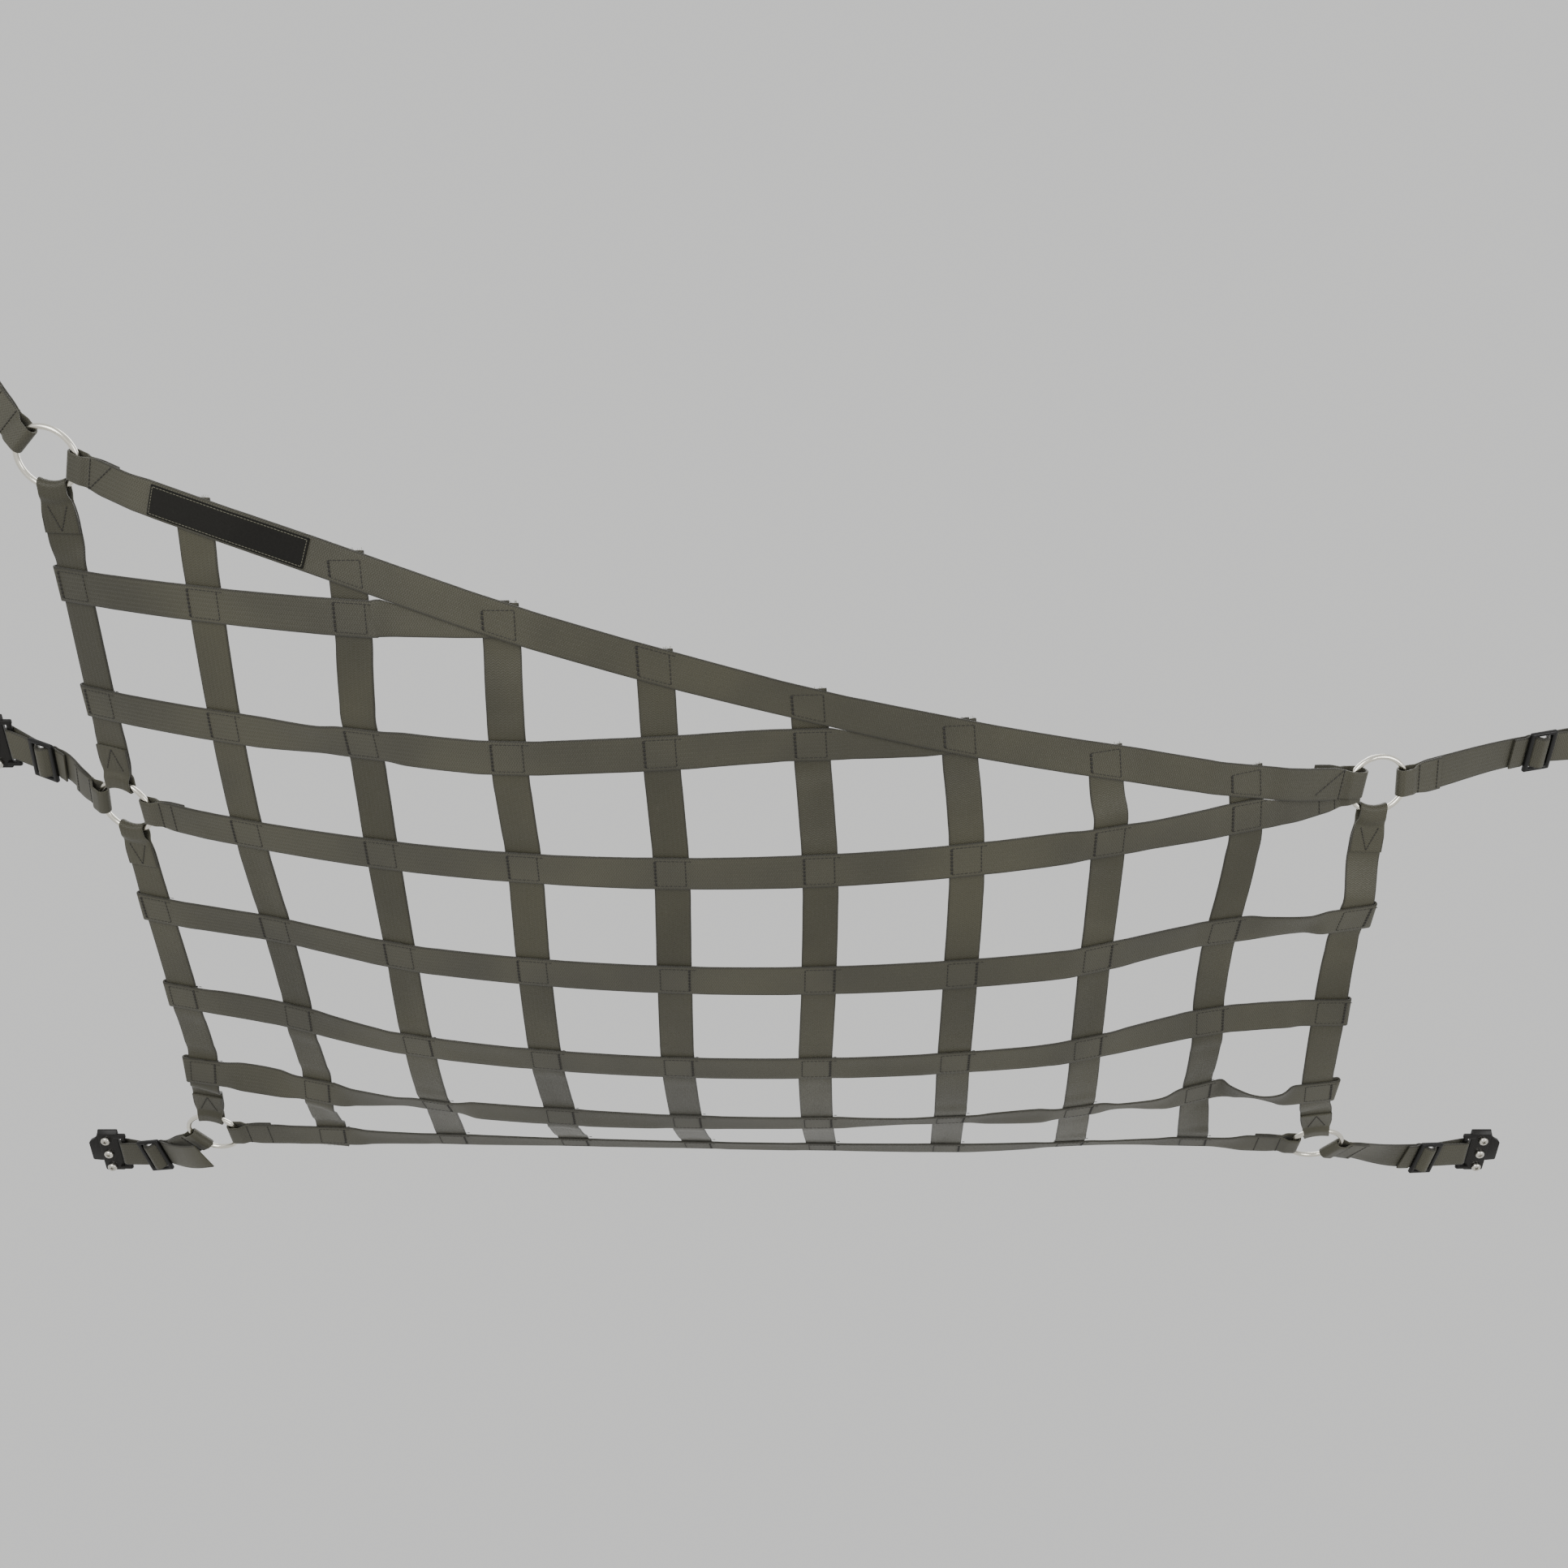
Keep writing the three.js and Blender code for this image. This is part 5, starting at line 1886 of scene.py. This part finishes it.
def block(low: tuple[float, float, float], high: tuple[float, float, float]) -> Piece:
    """A block between two corners, in millimetres.

    Args:
        low: its lowest corner.
        high: its highest corner.

    Returns:
        The block, with its place in its mesh.
    """
    piece = added(bpy.ops.mesh.primitive_cube_add, size=1)
    for vertex in piece.data.vertices:
        share = [c + 0.5 for c in vertex.co]
        vertex.co = [(a + (b - a) * s) * MM for a, b, s in zip(low, high, share)]
    return piece


def cut_plate(outline: Sequence[tuple[float, float]], low: float, high: float) -> Piece:
    """A flat plate with any outline, in millimetres.

    Args:
        outline: its corners, anticlockwise.
        low: height of its lower face.
        high: height of its upper face.

    Returns:
        The plate, with its place in its mesh.
    """
    piece = added(bpy.ops.mesh.primitive_circle_add, vertices=len(outline), radius=1, fill_type="NGON")
    for vertex, (x, y) in zip(piece.data.vertices, outline):
        vertex.co = (x * MM, y * MM, low * MM)
    bpy.ops.object.mode_set(mode="EDIT")
    return raised(piece, high - low)


def bevel_edges(piece: Piece, wanted: Callable[[Vector, Vector], bool], width: float, steps: int) -> None:
    """Bevels the edges whose two ends pass a test.

    Args:
        piece: the piece.
        wanted: test on both ends, in millimetres.
        width: width of the bevel.
        steps: segments of it.
    """
    select_only(piece)
    bpy.ops.object.mode_set(mode="EDIT")
    bpy.ops.mesh.select_mode(type="EDGE")
    bpy.ops.mesh.select_all(action="DESELECT")
    bpy.ops.object.mode_set(mode="OBJECT")
    points = [v.co / MM for v in piece.data.vertices]
    for edge in piece.data.edges:
        edge.select = wanted(*(points[i] for i in edge.vertices))
    bpy.ops.object.mode_set(mode="EDIT")
    bpy.ops.mesh.bevel(offset=width * MM, segments=steps, affect="EDGES")
    bpy.ops.mesh.select_mode(type="VERT")
    bpy.ops.object.mode_set(mode="OBJECT")


@dataclass
class Brackets:
    """Brackets on the panel's side frames, each with its strap bar and three screws."""

    turns: tuple[float, float, float] = (17.0, 53.0, 29.0)     # of the first screw, by screw and by bracket
    pieces: dict[str, Piece] = field(default_factory=dict)
    screws: dict[str, Piece] = field(default_factory=dict)

    @staticmethod
    def _model_bracket() -> Piece:
        """Models the right-hand bracket.

        Returns:
            The bracket, with its middle at y = 0.
        """
        b = BRACKET
        plate = block((b.inner, -b.half_length, -b.thick), (b.outer, b.half_length, 0))
        bevel_edges(plate, lambda p, q: min(p.y, q.y) > 0 and abs(p.z - q.z) > 1, b.corner, 3)
        bevel_edges(plate, lambda p, q: max(p.y, q.y) < -b.half_length + 0.1 and max(p.z, q.z) < -b.thick + 0.1,
                    b.bevel, 1)
        rounded(plate, b.rounding, 3, 30)
        wing = cut_plate([(b.outer + x, y) for x, y in b.wing], -b.wing_thick, 0)
        rounded(wing, b.fine_rounding, 2, 60)
        arms = []
        for side in (-1, 1):
            low, high = sorted((side * b.arm_inner, side * b.arm_outer))
            arm = block((BAR_X - b.arm_over, low, BAR_Z - b.arm_thick / 2),
                        (b.inner + b.arm_into, high, BAR_Z + b.arm_thick / 2))
            bevel_edges(arm, lambda p, q: max(p.x, q.x) < BAR_X and abs(p.y - q.y) > 1, b.arm_corner, 4)
            rounded(arm, b.fine_rounding, 2, 40)
            arms.append(arm)
        bar = added(bpy.ops.mesh.primitive_cylinder_add, vertices=32, radius=b.bar * MM,
                    depth=(2 * b.arm_inner + 2) * MM, location=(BAR_X * MM, 0, BAR_Z * MM),
                    rotation=(math.pi / 2, 0, 0))
        for part in (wing, *arms, bar):
            combined(plate, part, "UNION")
        smooth_shading(plate, 35)
        return plate

    @staticmethod
    def _model_screw() -> Piece:
        """Models a pan-head screw with a cross recess.

        Returns:
            The screw, whose head hangs under z = 0.
        """
        s = SCREW
        face = s.seat - s.deep
        piece = added(bpy.ops.mesh.primitive_cylinder_add, vertices=40, radius=s.head * MM, depth=s.deep * MM,
                      location=(0, 0, (s.seat - s.deep / 2) * MM))
        bevel_edges(piece, lambda p, q: max(p.z, q.z) < face + 0.01, s.crown, 8)
        for x, y in (s.slot, s.slot[::-1]):
            cut = block((-x, -y, face - 1), (x, y, face + s.slot_depth))
            for vertex in cut.data.vertices:
                if vertex.co.z > face * MM:
                    vertex.co.x *= s.slot_narrows
                    vertex.co.y *= s.slot_narrows
            combined(piece, cut, "DIFFERENCE")
        shank = added(bpy.ops.mesh.primitive_cylinder_add, vertices=24, radius=s.shank * MM, depth=-s.seat * MM,
                      location=(0, 0, s.seat / 2 * MM))
        bevel_edges(shank, lambda p, q: min(p.z, q.z) > -0.01, s.shank_bevel, 2)
        combined(piece, shank, "UNION")
        smooth_shading(piece, 30)
        return piece

    def build(self) -> None:
        """Models one bracket and one screw and copies them to their places."""
        bracket, screw = self._model_bracket(), self._model_screw()
        first, by_screw, by_bracket = self.turns
        for plan in ANCHORS:
            side, y = math.copysign(1, plan.bar[0]), plan.bar[1]
            place = Matrix.Translation((0, y * MM, 0)) @ Matrix.Diagonal((side, 1, 1, 1))
            self.pieces[f"bracket_{plan.ring}"] = copy_of(bracket, f"black_bracket_{plan.ring}", place)
            for k in (-1, 0, 1):
                where = (side * BRACKET.screw_x * MM, (y + BRACKET.screw_y + k * BRACKET.screw_pitch) * MM, 0)
                turn = Matrix.Rotation(math.radians(first + by_screw * k + by_bracket * plan.ring), 4, "Z")
                name = f"{plan.ring}_{k + 2}"
                self.screws[f"screw_{name}"] = copy_of(screw, f"pan_screw_{name}",
                                                       Matrix.Translation(where) @ turn)
            log.info("bracket %d", plan.ring)
        for model in (bracket, screw):
            bpy.data.objects.remove(model, do_unlink=True)

    def dress(self) -> None:
        """Gives brackets and screws their finishes."""
        paint, steel = BRACKET_PAINT.material(), SCREW_STEEL.material()
        for node, piece in self.pieces.items():
            dressed(piece, paint, node)
        for node, piece in self.screws.items():
            dressed(piece, steel, node)


@dataclass
class Label:
    """A bare cloth label that is sewn along the diagonal."""

    layout: NetLayout
    start: float = 76.0
    end: float = 184.0
    width: float = 21.0
    thick: float = 1.0
    rounding: float = 0.25
    band: Band | None = None
    piece: Piece | None = None

    def height(self) -> float:
        """Height of the label's middle over the diagonal's line."""
        return -FACE - GAP - self.thick / 2

    def build(self) -> None:
        """Lays the label on the diagonal."""
        stops = [replace(stop, near=self.width / 2, far=self.width / 2)
                 for stop in stretch(self.start, self.end, lambda u: self.height())]
        self.band = Band("bare_label", self.layout.diagonal, stops, self.thick, self.rounding)
        self.piece = self.band.build()
        log.info("label")

    def dress(self) -> None:
        """Gives the label its finish."""
        dressed(self.piece, PATCH_CLOTH.material(), "label_patch")


@dataclass(frozen=True)
class BoxSeam:
    """Places and thread widths of a sewn box. Its double side has two lines, the others one."""

    inset: float = 2.6
    edge: float = 1.2
    apart: float = 0.8
    over_run: float = 4.5
    strong: float = 1.0
    second: float = 0.85
    top: float = 0.55
    light: float = 0.7
    bottom: float = 0.45


@dataclass(frozen=True)
class FraySizes:
    """Yarns at a cut end: how many, how wide, and how far each starts, bends and reaches at random."""

    yarns: int = 26
    width: float = 0.22
    share: float = 0.96
    height: float = 0.6
    sideways: float = 0.8
    up: float = 0.5
    reach: tuple[float, float] = (0.7, 2.0)


@dataclass
class Seams:
    """Stitches of the crossings, the loops and the label."""

    layout: NetLayout
    straps: SewnStraps
    anchors: Anchors
    label: Label
    box: BoxSeam = BoxSeam()
    fray: FraySizes = FraySizes()
    loop_width: float = 0.8
    label_width: float = 0.5
    label_inset: float = 1.3
    sets: list[Stitches] = field(default_factory=list)
    pieces: list[Piece] = field(default_factory=list)

    def _box(self, to: Stitches, row: Patch, over: float, double: int, head: float | None) -> None:
        """A sewn box where two straps cross, on the underside and on top.

        Args:
            to: the set of stitches.
            row: the flat place, with the cross strap's way and the length strap's.
            over: height of the upper strap's upper face.
            double: the side that is sewn double, -1 for the left one or 1.
            head: for a top line square to the length strap, its distance past the crossing's middle.
        """
        box = self.box
        sine = row.along.cross(row.down).length
        reach = (HALF_WIDTH - box.inset) / sine
        outer = (HALF_WIDTH - box.edge) / sine
        sides = (-outer, reach) if double < 0 else (-reach, outer)
        lean = row.along.dot(row.down)
        over_run = row.along * (box.over_run if head is None else 0.0)
        tops = [reach if head is None else min(reach, head - x * lean) for x in sides]
        corner = [(sides[0], -reach), (sides[0], tops[0]), (sides[1], tops[1]), (sides[1], -reach)]
        for height, out in ((-FACE, -row.normal), (over, row.normal)):
            points = [row.point + row.along * x + row.down * y + row.normal * height for x, y in corner]
            left, right = points[:2], points[2:]
            strong, light = (left, right) if double < 0 else (right, left)
            for ends, width in (
                (strong, box.strong),
                ([p - row.along * (box.apart * double) for p in strong], box.second),
                ([left[1], right[0] + over_run], box.top),
                (light, box.light),
                ([right[1], left[0]], box.bottom),
            ):
                to.line([(point, out) for point in ends], width)

    def _crossings(self) -> None:
        """Boxes at all crossings of the net."""
        for column in range(DIAGONAL.last + 1):
            stitches = Stitches(f"stitches_column_{column}")
            for crossing in self.layout.columns[column]:
                if self.layout.ring_at(crossing.key, column):
                    continue
                row = self.layout.row_patch(crossing.key, column)
                if crossing.key == "T":
                    row = self.layout.diagonal.patches[column]
                wrapped = column in (0, DIAGONAL.last)
                shared = crossing.key == "T" and any(s.key in TUCKED and s.last == column for s in CROSS_STRAPS)
                over = FACE + (TUCK_LIFT if shared else LAYER if wrapped else 0.0)
                double = 1 if column >= DOUBLE_RIGHT.get(crossing.key, DIAGONAL.last + 1) else -1
                head = BOX_HEADS.get(column) if crossing.key == "T" else None
                self._box(stitches, row, over, double, head)
            if stitches.places:
                self.sets.append(stitches)

    @staticmethod
    def _face(band: Band, u: float, w: float, h: float, out: int) -> tuple[Vector, Vector]:
        """A point of a band at u, w across and h high, and the way out of its upper (1) or lower (-1) face."""
        found = band.line.at(u)
        return found.point + found.across * w + found.normal * h, found.normal * out

    def _loop(self, to: Stitches, band: Band, at: float, way: int, seam: LoopSeam,
              places: tuple[float, float]) -> None:
        """Stitches that close a loop round a ring, on both sides.

        Args:
            to: the set of stitches.
            band: the strap.
            at: distance along its line of the ring's centre.
            way: 1 where the strap runs on from there, or -1.
            seam: the pattern.
            places: distances of the pattern's start and end from the ring's centre.
        """
        near, far = places
        half = HALF_WIDTH - self.box.edge
        across = ((near, -half), (near, half))
        lines = {
            LoopSeam.LINES: (across, ((far, -half), (far, half))),
            LoopSeam.TRIANGLE: (across, ((near, half), (far, -half))),
            LoopSeam.SLANT: (across, ((near, -half), (far, half * 0.7))),
            LoopSeam.VEE: (((near, -half * 0.6), (far, 0)), ((far, 0), (near, half * 0.6))),
        }[seam]
        height = FACE + (OUTER_OFF if seam is LoopSeam.SLANT else 0.0)
        count = 8
        for out in (-1, 1):
            for (r0, w0), (r1, w1) in lines:
                path = [(r0 + (r1 - r0) * k / count, w0 + (w1 - w0) * k / count) for k in range(count + 1)]
                to.line([self._face(band, at + way * r, w, out * height, out) for r, w in path],
                        self.loop_width)

    def _loops(self) -> None:
        """Seams of all loops."""
        stitches = Stitches("stitches_loops", pause=0.3)
        ends = {key: self.layout.curves[key].pitch * DIAGONAL.last for key in ("G", "C", "T")}
        plans = [
            ("cross_strap_1", 0, 1, LoopSeam.LINES, (31.5, 49.5)),
            ("cross_strap_1", ends["G"], -1, LoopSeam.LINES, (31.5, 49.5)),
            ("cross_strap_5", 0, 1, LoopSeam.LINES, (31.5, 42.0)),
            ("cross_strap_5", ends["C"], -1, LoopSeam.LINES, (35.0, 48.0)),
            ("diagonal_strap", 0, 1, LoopSeam.TRIANGLE, (31.5, 47.5)),
            ("diagonal_strap", ends["T"], -1, LoopSeam.SLANT, (31.5, 52.0)),
        ]
        for node, _, first, last in EDGE_STRAPS:
            plans.append((node, first * COLUMN_PITCH, 1, LoopSeam.VEE, (33.0, 50.5)))
            plans.append((node, last * COLUMN_PITCH, -1, LoopSeam.VEE, (33.0, 50.5)))
        for node, at, way, seam, places in plans:
            self._loop(stitches, self.straps.bands[node], at, way, seam, places)
        for band in self.anchors.bands.values():
            self._loop(stitches, band, 0, 1, LoopSeam.LINES, (31.5, 48.0))
        self.sets.append(stitches)

    def _label(self) -> None:
        """Stitches round the label."""
        stitches = Stitches("stitches_label", length=1.8, pause=0.35)
        label, inset = self.label, self.label_inset
        height, half = label.height() - label.thick / 2, label.width / 2 - inset
        steps = np.linspace(label.start + inset, label.end - inset, 24)
        paths = [[(float(u), w) for u in steps] for w in (-half, half)]
        paths += [[(float(u), -half), (float(u), half)] for u in (steps[0], steps[-1])]
        for path in paths:
            stitches.line([self._face(label.band, u, w, height, -1) for u, w in path], self.label_width)
        self.sets.append(stitches)

    def _frays(self) -> None:
        """Short loose yarns at the cut ends of the inner length straps."""
        fray, spread = self.fray, random.Random(7)
        stitches = Stitches("frayed_yarns", length=4.0, pause=0.0)
        for column in range(1, DIAGONAL.last):
            band = self.straps.bands[f"length_strap_{column}"]
            for stop, way in ((band.stops[0], -1), (band.stops[-1], 1)):
                found = band.line.at(stop.u)
                for _ in range(fray.yarns):
                    w = spread.uniform(-HALF_WIDTH, HALF_WIDTH) * fray.share
                    h = stop.h + spread.uniform(-fray.height, fray.height)
                    start = found.point + found.across * w + found.normal * h
                    bend = (found.across * spread.uniform(-fray.sideways, fray.sideways)
                            + found.normal * spread.uniform(-fray.up, fray.up))
                    tip = start + found.along * (way * spread.uniform(*fray.reach)) + bend
                    stitches.line([(start, found.normal), (tip, found.normal)], fray.width)
        self.sets.append(stitches)

    def build(self) -> None:
        """Builds all stitches."""
        self._crossings()
        self._loops()
        self._label()
        self._frays()
        for stitches in self.sets:
            self.pieces.append(stitches.build())
            log.info("%s: %d stitches", stitches.name, len(stitches.places))

    def dress(self) -> None:
        """Gives the thread its finish."""
        finishes = {"stitches_label": BORDER_THREAD.material(), "frayed_yarns": LOOSE_THREAD.material()}
        # the dark stitches are thread plus painted shade of their grooves
        thread_and_groove_shade = THREAD.material()
        for piece in self.pieces:
            dressed(piece, finishes.get(piece.name, thread_and_groove_shade))


# Studio


@dataclass
class Studio:
    """Floor, light and camera."""

    lens: float = 41.93
    position: tuple[float, float, float] = (-9.0, -1148.08, -1148.94)
    elevation: float = 56.38
    floor_place: tuple[float, float, float] = (0, -0.4, -2.6)
    floor_size: float = 12.0
    aim: tuple[float, float, float] = (0, -0.35, -0.06)

    def floor(self) -> None:
        """A plain pale floor far below the net."""
        plane = added(bpy.ops.mesh.primitive_plane_add, size=self.floor_size, location=self.floor_place)
        piece = named(plane, "studio_floor")
        made, _, shader = new_material("pale floor")
        shader.inputs["Base Color"].default_value = (0.80, 0.79, 0.77, 1)
        shader.inputs["Roughness"].default_value = 0.9
        piece.data.materials.append(made)

    def light(self) -> None:
        """Pale surroundings and soft lamps below, in front and above."""
        world = bpy.data.worlds.new("pale surroundings")
        world.use_nodes = True
        g = Graph(world.node_tree)
        back = g.node("ShaderNodeBackground", {"Color": (0.80, 0.80, 0.79, 1), "Strength": 1.0})
        out = g.node("ShaderNodeOutputWorld")
        g.feed(out.inputs[0], back.outputs[0])
        bpy.context.scene.world = world
        for name, place, size, power in (
            ("front lamp", (-0.9, -2.2, -1.5), 1.6, 40.0),
            ("side lamp", (1.6, -1.0, -1.2), 1.0, 14.0),
            ("top lamp", (0.2, -0.6, 2.2), 1.8, 40.0),
        ):
            data = bpy.data.lights.new(name, "AREA")
            data.energy, data.size = power, size
            lamp = placed(name, data)
            lamp.location = place
            lamp.rotation_euler = (Vector(self.aim) - Vector(place)).to_track_quat("-Z", "Y").to_euler()

    def camera(self) -> None:
        """The camera, at the photograph's angle."""
        data = bpy.data.cameras.new("camera")
        data.lens, data.sensor_width, data.sensor_fit = self.lens, 36.0, "HORIZONTAL"
        data.clip_end = 50
        seen = placed("camera", data)
        up = math.radians(self.elevation)
        right = Vector((1, 0, 0))
        top = Vector((0, -math.sin(up), math.cos(up)))
        look = Matrix((right, top, right.cross(top))).transposed().to_4x4()
        seen.matrix_world = Matrix.Translation(Vector(self.position) * MM) @ look
        bpy.context.scene.camera = seen

    def build(self) -> None:
        """Sets up the studio."""
        self.floor()
        self.light()
        self.camera()


def write_sizes() -> None:
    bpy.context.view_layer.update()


def main() -> None:
    """Builds and dresses the net, then sets up the studio."""
    logging.basicConfig(level=logging.INFO, format="%(message)s")
    layout = NetLayout()
    straps = SewnStraps(layout)
    straps.plan()
    anchors = Anchors(layout)
    anchors.plan()
    label = Label(layout)
    seams = Seams(layout, straps, anchors, label)
    for part in (straps, RingSet(layout), anchors, Brackets(), label, seams):
        part.build()
        part.dress()
    Studio().build()
    write_sizes()


if __name__ == "__main__":
    main()
